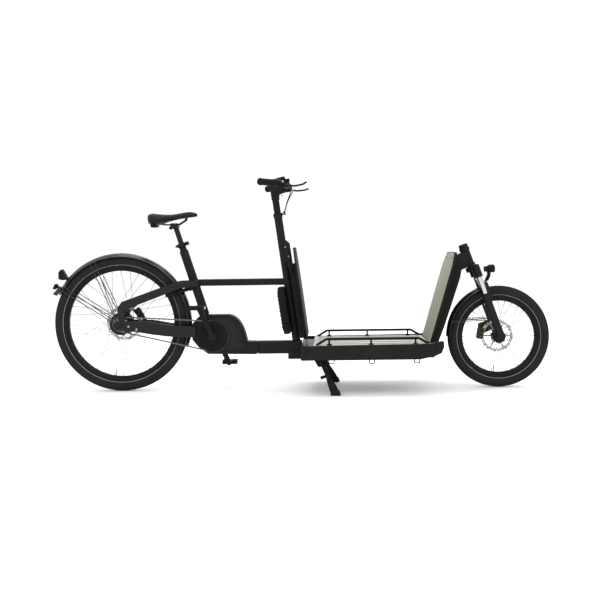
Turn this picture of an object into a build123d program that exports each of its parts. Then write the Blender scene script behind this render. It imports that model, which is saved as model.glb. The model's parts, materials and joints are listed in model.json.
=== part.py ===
import os
from math import acos, atan2, cos, degrees, hypot, pi, radians, sin, sqrt, tan

from build123d import *

# Long-john cargo bicycle with a flat deck between the rider and the front wheel.
# Millimetres. +X forward, +Z up, the rider's right side is -Y. The origin is on the ground under
# the middle of the bicycle. Lengths called "ahead" are measured forward from the rear axle.

# ---- driving dimensions -------------------------------------------------------------------------
wheelbase = 1925
rear_tyre_r = 347
front_tyre_r = 258
tyre_w = 55
tyre_wall = 3.5
tail_reach = 355            # mudguard tip behind the rear axle
rim_w = 35
rim_depth = 26
tyre_depth = 50             # tyre radius minus the radius of the rim's outer face
spoke_r = 0.9
running_gap = 0.05          # radial running clearance of every shaft in its bore
free_gap = 0.3              # smallest gap between pieces that move past each other
seam = 0.02                 # between two pieces that sit face to face

bb_ahead = 473
bb_z = 279
crank_len = 165
crank_angle = 114           # near arm, measured up from straight ahead
chain_pitch = 12.7
ring_teeth = 38
sprocket_teeth = 18
chain_y = -50

seat_lean = 17.6            # degrees, seat tube leans back
seat_tube_r = 22.5
seat_post_r = 13.6
top_tube_z = 552
top_tube_h = 34
top_tube_w = 40
hub_half = 67.5             # half the spacing of the rear dropouts
stay_t = 18                 # thickness of the stays, across

column_lean = 7.6
column_foot_ahead = 896     # column axis at the beam's top face
column_r = 21
column_top = 642            # along the axis, from the foot
post_r = 17.5

beam_top = 250
beam_h = 66
beam_w = 66
deck_rear = 925             # ahead
deck_len = 693
deck_w = 600
deck_side_h = 70
deck_bottom = 176
deck_top = 246
panel_t = 12
rail_r = 6
rail_z = 277
rail_y = 256

wall_lean = 16.5            # front wall leans forward
wall_foot_ahead = 1558
wall_w = 420
wall_top_w = 300
wall_t = 12
wall_len = 460

head_lean = 20
head_top_ahead = 1752
head_top_z = 715
leg_y = 68
leg_r = 19
stanchion_r = 14
front_rotor_r = 82
rear_rotor_r = 90

bar_half = 320
stand_pivot_ahead = 1030
stand_pivot_z = 148
stand_foot_y = 255

rear_axle_x = (tail_reach - wheelbase - front_tyre_r) / 2
front_axle_x = rear_axle_x + wheelbase
bb_x = rear_axle_x + bb_ahead
ring_r = chain_pitch / (2 * sin(pi / ring_teeth))
sprocket_r = chain_pitch / (2 * sin(pi / sprocket_teeth))

os.makedirs("parts", exist_ok=True)
made = []


def ahead(d):
    """X of a point d ahead of the rear axle."""
    return rear_axle_x + d


def side(y=0.0):
    """Upright plane at y: local x is the distance ahead of the rear axle, local y is height."""
    return Plane(origin=(rear_axle_x, y, 0), x_dir=(1, 0, 0), z_dir=(0, -1, 0))


def plan(z=0.0):
    """Level plane at height z: local x is the distance ahead of the rear axle, local y is Y."""
    return Plane(origin=(rear_axle_x, 0, z), x_dir=(1, 0, 0), z_dir=(0, 0, 1))


def across(x, z):
    """Plane through an axle at x, z that holds it: local x is Y, local y is up."""
    return Plane(origin=(x, 0, z), x_dir=(0, 1, 0), z_dir=(1, 0, 0))


def axle(x, z):
    return Axis((x, 0, z), (0, 1, 0))


def lean_dir(angle, y=0.0):
    return Vector(-sin(radians(angle)), y, cos(radians(angle)))


def lean_side(x, z, angle, y=0.0):
    """Upright plane whose local y runs up an axis that leans back by angle, local x forward."""
    return Plane(origin=(x, y, z), x_dir=(cos(radians(angle)), 0, sin(radians(angle))), z_dir=(0, -1, 0))


def lean_end(x, z, angle, s=0.0, y=0.0):
    """Plane square to a leaning axis, at s along it: local x forward, local y is Y."""
    up = lean_dir(angle)
    return Plane(origin=(x + up.X * s, y, z + up.Z * s),
                 x_dir=(cos(radians(angle)), 0, sin(radians(angle))), z_dir=(up.X, 0, up.Z))


def on_lean(x, z, angle, s, d=0.0):
    """Point at s up a leaning axis and d in front of it, as x, z."""
    a = radians(angle)
    return x - sin(a) * s + cos(a) * d, z + cos(a) * s + sin(a) * d


def outline(points, radius):
    """Closed face through points, with its corners rounded."""
    with BuildSketch() as sk:
        with BuildLine():
            Polyline(*points, close=True)
        make_face()
        fillet(sk.vertices(), radius)
    return sk.sketch


def tube(plane, outer_r, length, inner_r=0.0):
    """Round tube or rod from a plane, as a loose part."""
    with BuildPart(mode=Mode.PRIVATE) as rod:
        with BuildSketch(plane):
            Circle(outer_r)
            if inner_r:
                Circle(inner_r, mode=Mode.SUBTRACT)
        extrude(amount=length)
    return rod.part


def save(part, name):
    part.label = name
    export_step(part, f"parts/{name}.step")
    made.append(name)


# ---- rear frame ---------------------------------------------------------------------------------
seat_x = bb_x - 9
seat_foot = 112             # lower end of the seat tube, up the axis from the bottom bracket's height
seat_step = 459             # the tube's top, where the sleeve comes out
seat_top = 500              # the sleeve's top
sleeve_r = 18
seat_bore_r = 19

with BuildPart() as seat_tube:
    with BuildSketch(lean_side(seat_x, bb_z, seat_lean)):
        with BuildLine():
            Polyline((0, seat_foot), (seat_tube_r, seat_foot), (seat_tube_r, seat_step), (sleeve_r, seat_step),
                     (sleeve_r, seat_top), (seat_post_r + running_gap, seat_top),
                     (seat_post_r + running_gap, seat_step - 70), (seat_bore_r, seat_step - 75),
                     (seat_bore_r, seat_foot + 6), (0, seat_foot + 6), close=True)
        make_face()
    revolve(axis=Axis((seat_x, 0, bb_z), lean_dir(seat_lean)))

collar_h = 18
lug_d = sleeve_r + 13       # clamp bolt in front of the seat tube's axis
lug_half = 13
with BuildPart() as seat_collar:
    collar_plane = lean_end(seat_x, bb_z, seat_lean, seat_top - collar_h - 2)
    with BuildSketch(collar_plane):
        Circle(sleeve_r + 6)
        with Locations((sleeve_r + 9, 0)):
            RectangleRounded(22, 26, 4)
        Circle(sleeve_r + 0.02, mode=Mode.SUBTRACT)
        with Locations((sleeve_r + 12, 0)):
            Rectangle(30, 2.5, mode=Mode.SUBTRACT)
    extrude(amount=collar_h)
    nut_x, nut_z = on_lean(seat_x, bb_z, seat_lean, seat_top - 11, sleeve_r + 13)
    add(tube(Plane(origin=(nut_x, -12.98, nut_z), z_dir=(0, 1, 0)), 3, 25.96))
    add(tube(Plane(origin=(nut_x, 13, nut_z), z_dir=(0, 1, 0)), 6.5, 6))
save(Compound(children=[seat_tube.part, seat_collar.part]), "seat_tube")

stay_inner = hub_half - 5.5
stay_outer = stay_inner + stay_t
upper_side = outline([(402, 566), (300, 562), (180, 520), (18, 463), (-6, 436), (-6, 362), (27, 362), (27, 409),
                      (70, 438), (190, 482), (310, 526), (402, 532)], 16)
upper_plan = outline([(402, -40), (325, -54), (90, -stay_outer), (-30, -stay_outer), (-30, -stay_inner),
                      (90, -stay_inner), (316, -38), (345, -seat_tube_r - 0.1), (402, -seat_tube_r - 0.1)], 3)
with BuildPart() as upper_stays:
    with BuildSketch(side(-100)):
        add(upper_side)
    extrude(amount=-200)
    with BuildSketch(plan(300)):
        add(upper_plan)
        mirror(upper_plan, about=Plane.XZ)
    extrude(amount=300, mode=Mode.INTERSECT)
save(upper_stays.part, "upper_stays")

lower_side = outline([(388, 330), (276, 337), (150, 359), (62, 361.8), (-20, 361.8), (-34, 347), (-20, 318), (83, 309),
                      (169, 293), (268, 280), (388, 275)], 12)
lower_plan = outline([(386, -60), (330, -66), (120, -stay_outer), (-40, -stay_outer), (-40, -stay_inner),
                      (120, -stay_inner), (330, -50), (352, -40.05), (386, -40.05)], 3)
with BuildPart() as chainstays:
    with BuildSketch(side(-100)):
        add(lower_side)
    extrude(amount=-200)
    with BuildSketch(plan(200)):
        add(lower_plan)
        mirror(lower_plan, about=Plane.XZ)
    extrude(amount=200, mode=Mode.INTERSECT)
axle_r = 6
with BuildPart() as rear_axle:
    add(tube(Plane(origin=(rear_axle_x, -stay_inner + seam, rear_tyre_r), z_dir=(0, 1, 0)), axle_r,
             2 * stay_inner - 2 * seam))
    for near in (-1, 1):
        add(tube(Plane(origin=(rear_axle_x, near * (stay_outer + seam), rear_tyre_r), z_dir=(0, near, 0)), 12, 7))
save(Compound(children=[chainstays.part, rear_axle.part]), "chainstays")

column_x = ahead(column_foot_ahead)
with BuildPart() as top_tube:
    with BuildSketch(Plane(origin=(seat_x - 70, 0, top_tube_z), x_dir=(0, 1, 0), z_dir=(1, 0, 0))):
        RectangleRounded(top_tube_w, top_tube_h, 8)
    extrude(amount=column_x - seat_x + 40)
    with BuildSketch(lean_end(seat_x, bb_z, seat_lean, seat_foot)):
        Circle(seat_tube_r + 0.02)
    extrude(amount=seat_step - seat_foot, mode=Mode.SUBTRACT)
    with BuildSketch(plan(top_tube_z - 30)):
        with Locations((bb_ahead - 160, 0)):
            Rectangle(150, 100)
    extrude(amount=60, mode=Mode.SUBTRACT)
    with BuildSketch(lean_end(column_x, beam_top, column_lean)):
        Circle(column_r + 0.02)
    extrude(amount=column_top, mode=Mode.SUBTRACT)
    split(bisect_by=Plane(origin=(column_x - 40, 0, top_tube_z), z_dir=(1, 0, 0)), keep=Keep.BOTTOM)
save(top_tube.part, "top_tube")

# ---- motor and its bracket ----------------------------------------------------------------------
bracket_half = 40
bracket_side = outline([(366, 342), (400, 380), (440, 388), (560, 388), (606, 352), (636, 290), (646, beam_top),
                        (700, beam_top), (700, beam_top - beam_h), (446, 188), (398, 222), (366, 262)], 11)
motor_side = outline([(381, 338), (406, 365), (443, 373), (550, 373), (591, 343), (619, 287), (630, 240),
                      (626, 203), (451, 203), (408, 230), (381, 267)], 9)
with BuildPart() as motor_bracket:
    with BuildSketch(side(bracket_half)):
        add(bracket_side)
    extrude(amount=2 * bracket_half)
    with BuildSketch(side(bracket_half)):
        offset(motor_side, seam)
    extrude(amount=2 * bracket_half, mode=Mode.SUBTRACT)
    with BuildSketch(lean_end(seat_x, bb_z, seat_lean, seat_foot)):
        Circle(seat_tube_r + 0.02)
    extrude(amount=60, mode=Mode.SUBTRACT)
save(motor_bracket.part, "motor_bracket")

spindle_r = 12
cover_t = 5.9
motor_half = bracket_half - cover_t - seam
with BuildPart() as motor_unit:
    with BuildSketch(side(motor_half)):
        add(motor_side)
    extrude(amount=2 * motor_half)
    for y in (bracket_half, -motor_half - seam):
        with BuildSketch(side(y)):
            add(motor_side)
        extrude(amount=cover_t)
    with BuildSketch(side(50)):
        with Locations((bb_ahead, bb_z)):
            Circle(spindle_r + running_gap)
    extrude(amount=100, mode=Mode.SUBTRACT)
save(motor_unit.part, "motor_unit")

with BuildPart() as main_beam:
    with BuildSketch(Plane(origin=(ahead(700.02), 0, beam_top - beam_h / 2), x_dir=(0, 1, 0), z_dir=(1, 0, 0))):
        RectangleRounded(beam_w, beam_h, 10)
    extrude(amount=deck_rear - 700.04)
    with BuildSketch(Plane(origin=(ahead(700.02), 0, beam_top - beam_h / 2), x_dir=(0, 1, 0), z_dir=(1, 0, 0))):
        RectangleRounded(beam_w - 8, beam_h - 8, 6)
    extrude(amount=150, mode=Mode.SUBTRACT)
    with BuildSketch(side(46)):
        add(outline([(854, 200), (deck_rear - 0.02, 200), (deck_rear - 0.02, 158), (854, 158)], 4))
    extrude(amount=92)
save(main_beam.part, "main_beam")

# ---- steering column ----------------------------------------------------------------------------
with BuildPart() as steering_column:
    with BuildSketch(lean_end(column_x, beam_top, column_lean)):
        Circle(column_r)
    extrude(amount=column_top)
    with BuildSketch(lean_side(column_x, beam_top, column_lean, 24)):
        add(outline([(0, 408), (36, 408), (36, 496), (22, 512), (0, 512)], 5))
    extrude(amount=48)
    split(bisect_by=Plane(origin=(0, 0, beam_top + 0.02), z_dir=(0, 0, 1)), keep=Keep.TOP)
    with BuildSketch(lean_end(column_x, beam_top, column_lean, 60)):
        Circle(post_r + running_gap)
    extrude(amount=column_top, mode=Mode.SUBTRACT)
save(steering_column.part, "steering_column")

# ---- deck ---------------------------------------------------------------------------------------
side_t = 28
side_wall = 4
plate_out = [(deck_rear, deck_bottom), (deck_rear + 575, deck_bottom), (1570, 190), (1606, 206), (1618, 235),
             (1618, 262), (1606, 262), (1545, 251), (deck_rear, deck_top)]
plate_in = [(deck_rear + 4, deck_bottom + 4), (deck_rear + 574, deck_bottom + 4), (1567, 194), (1603, 209),
            (1614, 236), (1614, 256), (1606, 256), (1545, 246), (deck_rear + 4, deck_top - 5)]
for name, near in (("deck_side_right", -1), ("deck_side_left", 1)):
    outer = near * deck_w / 2
    inner = near * (deck_w / 2 - side_t)
    web = near * (deck_w / 2 - side_wall)
    with BuildPart() as deck_side:
        with BuildSketch(side(outer)):
            add(outline(plate_out, 6))
        extrude(amount=near * side_t)
        with BuildSketch(side(web)):
            add(outline(plate_in, 5))
        extrude(amount=near * side_t, mode=Mode.SUBTRACT)
        with BuildSketch(side(outer)):
            with Locations((deck_rear + 340, deck_bottom + 43)):
                RectangleRounded(640, 4, 1.9)
        extrude(amount=near * 1.5, mode=Mode.SUBTRACT)
    save(deck_side.part, name)

inner_half = deck_w / 2 - side_t - seam
cross_z = 182
cross_h = 52
web_half = deck_w / 2 - side_wall - seam
with BuildPart() as deck_crossmembers:
    for d, half in ((deck_rear + 45, web_half), (deck_rear + 350, web_half), (deck_rear + 625, inner_half)):
        cross_end = Plane(origin=(ahead(d), -half, cross_z + cross_h / 2), x_dir=(1, 0, 0), z_dir=(0, 1, 0))
        with BuildSketch(cross_end):
            RectangleRounded(50, cross_h, 6)
        extrude(amount=2 * half)
        with BuildSketch(cross_end):
            RectangleRounded(44, cross_h - 6, 4)
        extrude(amount=2 * half, mode=Mode.SUBTRACT)
    with BuildSketch(plan(cross_z)):
        with Locations((deck_rear + 10.5, 0)):
            Rectangle(20.9, 2 * inner_half)
    extrude(amount=cross_h)
save(deck_crossmembers.part, "deck_crossmembers")

panel_rear = deck_rear + 62
panel_front = 1556
deck_hole_r = 4.25
deck_hole_x = 440
deck_hole_y = 400
panel_mid = (panel_rear + panel_front) / 2
with BuildPart() as deck_panel:
    with BuildSketch(plan(cross_z + cross_h + seam)):
        with Locations((panel_mid, 0)):
            RectangleRounded(panel_front - panel_rear, 2 * inner_half, 8)
            with GridLocations(deck_hole_x, deck_hole_y, 2, 2):
                Circle(deck_hole_r, mode=Mode.SUBTRACT)
    extrude(amount=panel_t)
save(deck_panel.part, "deck_panel")

rail_ends = (1000, 1552)
rail_posts = (1064, 1268, 1484)
rail_foot_z = cross_z + cross_h + panel_t + 2 * seam
with BuildPart() as rail_bar:
    with BuildLine(side()) as rail_path:
        FilletPolyline((rail_ends[0], rail_foot_z), (rail_ends[0] + 52, rail_z), (rail_ends[1] - 52, rail_z),
                       (rail_ends[1], rail_foot_z), radius=26)
    with BuildSketch(Plane(origin=rail_path.line @ 0, z_dir=rail_path.line % 0)):
        Circle(rail_r)
    sweep(path=rail_path.line)
    split(bisect_by=plan(rail_foot_z), keep=Keep.TOP)
    for d in rail_posts:
        with BuildSketch(plan(rail_foot_z)):
            with Locations((d, 0)):
                Circle(4.5)
        extrude(amount=rail_z - rail_foot_z)
        with BuildSketch(plan(rail_foot_z)):
            with Locations((d, 0)):
                Circle(13)
        extrude(amount=4)
for name, near in (("cargo_rail_right", -1), ("cargo_rail_left", 1)):
    with BuildPart() as cargo_rail:
        add(rail_bar.part.moved(Location((0, near * rail_y, 0))))
    save(cargo_rail.part, name)

hoop_z = deck_bottom - seam
with BuildPart() as hoop:
    with BuildSketch(side(2.5)):
        with Locations((0, hoop_z - 7)):
            RectangleRounded(30, 26, 9)
            RectangleRounded(21, 17, 6, mode=Mode.SUBTRACT)
    extrude(amount=5)
    split(bisect_by=plan(hoop_z), keep=Keep.BOTTOM)
with BuildPart() as lash_loops:
    for d in (1074, 1270, 1488):
        for y in (-deck_w / 2 + 16, deck_w / 2 - 16):
            add(hoop.part.moved(Location((d, y, 0))))
save(lash_loops.part, "lash_loops")

# ---- front wall and mast ------------------------------------------------------------------------
wall_z = cross_z + cross_h + 14
wall_x = ahead(wall_foot_ahead)
wall_up = (sin(radians(wall_lean)), cos(radians(wall_lean)))
wall_plane = Plane(origin=(wall_x, 0, wall_z), x_dir=(0, -1, 0), z_dir=(-wall_up[1], 0, wall_up[0]))
with BuildPart() as front_wall:
    with BuildSketch(wall_plane):
        add(outline([(-wall_w / 2, 0), (wall_w / 2, 0), (wall_w / 2, wall_len - 64), (wall_top_w / 2, wall_len),
                     (-wall_top_w / 2, wall_len), (-wall_w / 2, wall_len - 64)], 10))
    extrude(amount=-wall_t)
save(front_wall.part, "front_wall")

mast_w = 64
head_x = ahead(head_top_ahead)
steerer_r = 15
head_r = 23
cup_r = 27
head_low = -104             # lower end of the head tube, along the axis from its top
head_z = head_top_z

with BuildPart() as front_mast:
    with BuildSketch(side(mast_w / 2)):
        add(outline([(1575.1, 188), (1600, 196), (1614, 222), (1650, 315), (1731, 561), (1738, 600), (1775, 614),
                     (1760, 692), (1741, 686), (1706, 672), (1687, 640), (1586.3, 300), (1578, 262), (1575.1, 240)], 3))
    extrude(amount=mast_w)
    with BuildSketch(lean_end(head_x, head_z, head_lean, head_low)):
        Circle(head_r)
    extrude(amount=-head_low - 4)
    with BuildSketch(lean_end(head_x, head_z, head_lean, head_low)):
        Circle(cup_r)
    extrude(amount=14)
    with BuildSketch(lean_end(head_x, head_z, head_lean, -20)):
        Circle(cup_r - 1)
    extrude(amount=16)
    with BuildSketch(lean_end(head_x, head_z, head_lean, head_low - 60)):
        Circle(62)
    extrude(amount=60, mode=Mode.SUBTRACT)
    with BuildSketch(lean_end(head_x, head_z, head_lean, head_low)):
        Circle(steerer_r + running_gap)
    extrude(amount=200, mode=Mode.SUBTRACT)
save(front_mast.part, "front_mast")

# ---- rear wall, battery, controller -------------------------------------------------------------
def column_box(d0, d1, s0, s1, half, r=3):
    """Block beside the steering column, from d0 to d1 in front of its axis and s0 to s1 up it."""
    with BuildPart(mode=Mode.PRIVATE) as box:
        with BuildSketch(lean_side(column_x, beam_top, column_lean, half)):
            add(outline([(d0, s0), (d1, s0), (d1, s1), (d0, s1)], r))
        extrude(amount=2 * half)
    return box.part


battery_back = column_r + free_gap
battery_front = 56
battery_half = 95
with BuildPart() as battery_pack:
    add(column_box(battery_back, battery_front, 14, 392, battery_half, 8))
    fillet(battery_pack.edges().filter_by(GeomType.LINE).filter_by(Axis.Y, reverse=True).filter_by(
        lambda e: e.length > 100), radius=8)
save(battery_pack.part, "battery_pack")

low_x, low_z = on_lean(column_x, beam_top, column_lean, 16, battery_front + seam)
rear_wall_plane = Plane(origin=(low_x, 0, low_z), x_dir=(0, -1, 0),
                        z_dir=(-cos(radians(column_lean)), 0, -sin(radians(column_lean))))
rear_wall_t = 8
with BuildPart() as rear_wall:
    with BuildSketch(rear_wall_plane):
        add(outline([(-200, 0), (200, 0), (200, 380), (140, 455), (-140, 455), (-200, 380)], 10))
    extrude(amount=-rear_wall_t)
save(rear_wall.part, "rear_wall")

with BuildPart() as controller_box:
    add(column_box(-55, -column_r - free_gap, 42, 282, 58, 7))
    add(column_box(-60, -55, 60, 262, 40, 2))
save(controller_box.part, "controller_box")

# ---- wheels -------------------------------------------------------------------------------------
def tyre(x, r):
    """Hollow tyre that stands on the rim's outer face."""
    seat = r - tyre_depth
    mid = r - tyre_w / 2
    with BuildPart() as ring:
        with BuildSketch(across(x, r)):
            with Locations((0, mid)):
                Circle(tyre_w / 2)
                Circle(tyre_w / 2 - tyre_wall, mode=Mode.SUBTRACT)
            with Locations((0, seat - 20)):
                Rectangle(tyre_w, 40, mode=Mode.SUBTRACT)
        revolve(axis=axle(x, r))
    return ring.part


def rim(x, r):
    """Hollow rim, with the stub of the valve inside it."""
    top = r - tyre_depth - 0.02
    with BuildPart() as ring:
        with BuildSketch(across(x, r)):
            with BuildLine():
                Polyline((-rim_w / 2, top), (rim_w / 2, top), (rim_w / 2, top - 10), (9, top - rim_depth),
                         (-9, top - rim_depth), (-rim_w / 2, top - 10), close=True)
            make_face()
            with BuildLine():
                Polyline((-rim_w / 2 + 3, top - 3), (rim_w / 2 - 3, top - 3), (rim_w / 2 - 3, top - 9),
                         (7.5, top - rim_depth + 2.5), (-7.5, top - rim_depth + 2.5), (-rim_w / 2 + 3, top - 9),
                         close=True)
            make_face(mode=Mode.SUBTRACT)
        revolve(axis=axle(x, r))
    return ring.part


def spokes(x, r, count, flange_r, flange_y):
    """Crossed spokes from two hub flanges to the rim's inner face, one solid each."""
    reach = r - tyre_depth - rim_depth - 0.5
    swing = 60                  # degrees from the hub hole to the rim hole
    made_spokes = []
    for i in range(count):
        turn = i * 360 / count
        near = -1 if i % 2 else 1
        forward = 1 if (i // 2) % 2 else -1
        hub = Vector(flange_r * cos(radians(turn + swing * forward)), near * (flange_y + 2.2 * forward),
                     flange_r * sin(radians(turn + swing * forward)))
        end = Vector(reach * cos(radians(turn)), near * 3, reach * sin(radians(turn)))
        centre = Vector(x, 0, r)
        made_spokes.append(tube(Plane(origin=centre + hub, z_dir=end - hub), spoke_r, (end - hub).length))
    return Compound(children=made_spokes)


def rotor(x, z, r, y):
    """Brake disc with a wavy edge, vents and a ring of arms."""
    with BuildPart() as disc:
        with BuildSketch(Plane(origin=(x, y, z), x_dir=(1, 0, 0), z_dir=(0, 1, 0))):
            Circle(r)
            Circle(r - 15, mode=Mode.SUBTRACT)
            with PolarLocations(r - 7.5, 24):
                Circle(2.6, mode=Mode.SUBTRACT)
            with PolarLocations(r, 12):
                Circle(2.2, mode=Mode.SUBTRACT)
            with PolarLocations((r + 12) / 2, 6):
                Rectangle(r - 24, 7)
            Circle(24)
            Circle(17.5, mode=Mode.SUBTRACT)
        extrude(amount=1.8)
    return disc.part


def hub(x, z, profile, bore):
    """Turned hub from half of its section, as (y, radius) pairs, bored for its axle."""
    with BuildPart() as shell:
        with BuildSketch(across(x, z)):
            with BuildLine():
                Polyline((profile[0][0], 0), *profile, (profile[-1][0], 0), close=True)
            make_face()
        revolve(axis=axle(x, z))
        with BuildSketch(across(x, z)):
            with Locations((0, bore / 2)):
                Rectangle(400, bore)
        revolve(axis=axle(x, z), mode=Mode.SUBTRACT)
    return shell.part


rear_flange_r = 59
rear_flange_y = 30
front_flange_r = 33
front_flange_y = 31
save(tyre(rear_axle_x, rear_tyre_r), "rear_tyre")
save(rim(rear_axle_x, rear_tyre_r), "rear_rim")
save(spokes(rear_axle_x, rear_tyre_r, 36, rear_flange_r, rear_flange_y), "rear_spokes")
save(rotor(rear_axle_x, rear_tyre_r, rear_rotor_r, 52), "rear_rotor")
save(hub(rear_axle_x, rear_tyre_r, [(-44, 22), (-36, 40), (-32, 58), (-28, 58), (-25, 47), (25, 47), (28, 58),
                                    (32, 58), (36, 40), (46, 24), (52, 24), (52, 17.4), (60, 17.4)],
         axle_r + running_gap), "rear_hub")
save(tyre(front_axle_x, front_tyre_r), "front_tyre")
save(rim(front_axle_x, front_tyre_r), "front_rim")
save(spokes(front_axle_x, front_tyre_r, 32, front_flange_r, front_flange_y), "front_spokes")
save(rotor(front_axle_x, front_tyre_r, front_rotor_r, 41), "front_rotor")
save(hub(front_axle_x, front_tyre_r, [(-46, 14), (-37, 20), (-35.4, 32), (-27, 32), (-24, 17), (24, 17), (27, 32),
                                      (35.4, 32), (37, 23), (41, 23), (41, 17.4), (47, 17.4)],
         axle_r + running_gap), "front_hub")

# ---- drive --------------------------------------------------------------------------------------
def toothed(x, z, pitch_r, teeth, bore, y, windows=0):
    """Chain sprocket 2 mm thick, centred on y."""
    with BuildPart() as wheel:
        with BuildSketch(Plane(origin=(x, y - 1, z), x_dir=(1, 0, 0), z_dir=(0, 1, 0))):
            Circle(pitch_r + 3.2)
            with PolarLocations(pitch_r, teeth):
                Circle(3.9, mode=Mode.SUBTRACT)
            with Locations((0, 0)):
                Circle(bore, mode=Mode.SUBTRACT)
            if windows:
                with PolarLocations(pitch_r * 0.72, windows):
                    Circle(9, mode=Mode.SUBTRACT)
        extrude(amount=2)
    return wheel.part


with BuildPart() as rear_sprocket:
    add(toothed(rear_axle_x, rear_tyre_r, sprocket_r, sprocket_teeth, 20, chain_y))
    add(tube(Plane(origin=(rear_axle_x, chain_y - 1, rear_tyre_r), z_dir=(0, 1, 0)), 20.2, 5.5, axle_r + running_gap))
save(rear_sprocket.part, "rear_sprocket")

with BuildPart() as chainring:
    add(toothed(bb_x, bb_z, ring_r, ring_teeth, 16, chain_y, 6))
    add(tube(Plane(origin=(bb_x, chain_y - 7, bb_z), z_dir=(0, 1, 0)), ring_r + 2, 2, 16))
    add(tube(Plane(origin=(bb_x, chain_y - 5, bb_z), z_dir=(0, 1, 0)), 34, 4, 16))
save(chainring.part, "chainring")

span = hypot(bb_ahead, bb_z - rear_tyre_r)
chain_tilt = degrees(atan2(bb_z - rear_tyre_r, bb_ahead))
wrap = degrees(acos((ring_r - sprocket_r) / span))


def chain_ring_face(grow):
    """Face inside the chain's line, grown by grow: two discs and the trapezium between them."""
    a = sprocket_r + grow
    b = ring_r + grow
    quad = []
    for r, x, z, up in ((a, 0, rear_tyre_r, 1), (b, bb_ahead, bb_z, 1), (b, bb_ahead, bb_z, -1),
                        (a, 0, rear_tyre_r, -1)):
        turn = radians(chain_tilt + up * (180 - wrap))
        quad.append((x + r * cos(turn), z + r * sin(turn)))
    with BuildSketch() as face:
        with BuildLine():
            Polyline(*quad, close=True)
        make_face()
        with Locations((0, rear_tyre_r)):
            Circle(a)
        with Locations((bb_ahead, bb_z)):
            Circle(b)
    return face.sketch


with BuildPart() as chain:
    for y in (chain_y + 2.6, chain_y - 1.3):
        with BuildSketch(side(y)):
            add(chain_ring_face(4.2))
            add(chain_ring_face(-4.2), mode=Mode.SUBTRACT)
        extrude(amount=1.3)
    rows = 14
    for up in (1, -1):
        turn = radians(chain_tilt + up * (180 - wrap))
        start = Vector(sprocket_r * cos(turn), rear_tyre_r + sprocket_r * sin(turn))
        end = Vector(bb_ahead + ring_r * cos(turn), bb_z + ring_r * sin(turn))
        for i in range(1, rows):
            here = start + (end - start) * (i / rows)
            add(tube(Plane(origin=(ahead(here.X), chain_y - 1.4, here.Y), z_dir=(0, 1, 0)), 3.6, 2.8))
save(chain.part, "chain")

arm_in = 72
arm_t = 13
arm_out = arm_in + arm_t
pedal_r = 4.5


def crank_end(near):
    """Centre of the pedal on the near (-1) or far (1) side, as x, z."""
    turn = radians(crank_angle if near < 0 else crank_angle + 180)
    return bb_x + crank_len * cos(turn), bb_z + crank_len * sin(turn)


with BuildPart() as crank_arms:
    add(tube(Plane(origin=(bb_x, -arm_out, bb_z), z_dir=(0, 1, 0)), spindle_r, 2 * arm_out))
    add(tube(Plane(origin=(bb_x, chain_y - 7, bb_z), z_dir=(0, 1, 0)), 15.98, 10))
    for near in (-1, 1):
        px, pz = crank_end(near)
        with BuildSketch(Plane(origin=((bb_x + px) / 2, near * arm_in, (bb_z + pz) / 2),
                               x_dir=(px - bb_x, 0, pz - bb_z), z_dir=(0, near, 0))):
            SlotCenterToCenter(crank_len, 26)
        extrude(amount=arm_t)
        add(tube(Plane(origin=(bb_x, near * (arm_in - 6), bb_z), z_dir=(0, near, 0)), 19, arm_t + 8))
        add(tube(Plane(origin=(px, near * arm_out, pz), z_dir=(0, near, 0)), pedal_r, 108))
save(crank_arms.part, "crank_arms")

pedal_gap = 1.5
for name, near in (("pedal_right", -1), ("pedal_left", 1)):
    px, pz = crank_end(near)
    start = arm_out + pedal_gap
    with BuildPart() as pedal:
        add(tube(Plane(origin=(px, near * start, pz), z_dir=(0, near, 0)), 9, 110))
        with BuildSketch(Plane(origin=(px, near * (start + 56), pz - 9), z_dir=(0, 0, 1))):
            RectangleRounded(78, 92, 12)
            for dx in (-23, 23):
                for dy in (-22, 22):
                    with Locations((dx, dy)):
                        RectangleRounded(22, 34, 4, mode=Mode.SUBTRACT)
        extrude(amount=18)
        add(tube(Plane(origin=(px, near * start, pz), z_dir=(0, near, 0)), pedal_r + running_gap, 107),
            mode=Mode.SUBTRACT)
    save(pedal.part, name)

# ---- mudguards, lights, calipers ----------------------------------------------------------------
def guard(x, z, r, half, skirt, wall, start, sweep_deg):
    """Arched mudguard from start degrees (measured up from straight ahead), sweep_deg round."""
    turn = radians(start)
    with BuildPart() as arch:
        with BuildSketch(Plane(origin=(x, 0, z), x_dir=(0, 1, 0), z_dir=(sin(turn), 0, -cos(turn)))) as section:
            with BuildLine():
                ThreePointArc((-half, r - skirt), (0, r), (half, r - skirt))
                Line((half, r - skirt), (half - wall, r - skirt))
                ThreePointArc((half - wall, r - skirt), (0, r - wall), (-half + wall, r - skirt))
                Line((-half + wall, r - skirt), (-half, r - skirt))
            make_face()
        revolve(axis=Axis((x, 0, z), (0, -1, 0)), revolution_arc=sweep_deg)
    return arch.part


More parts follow.
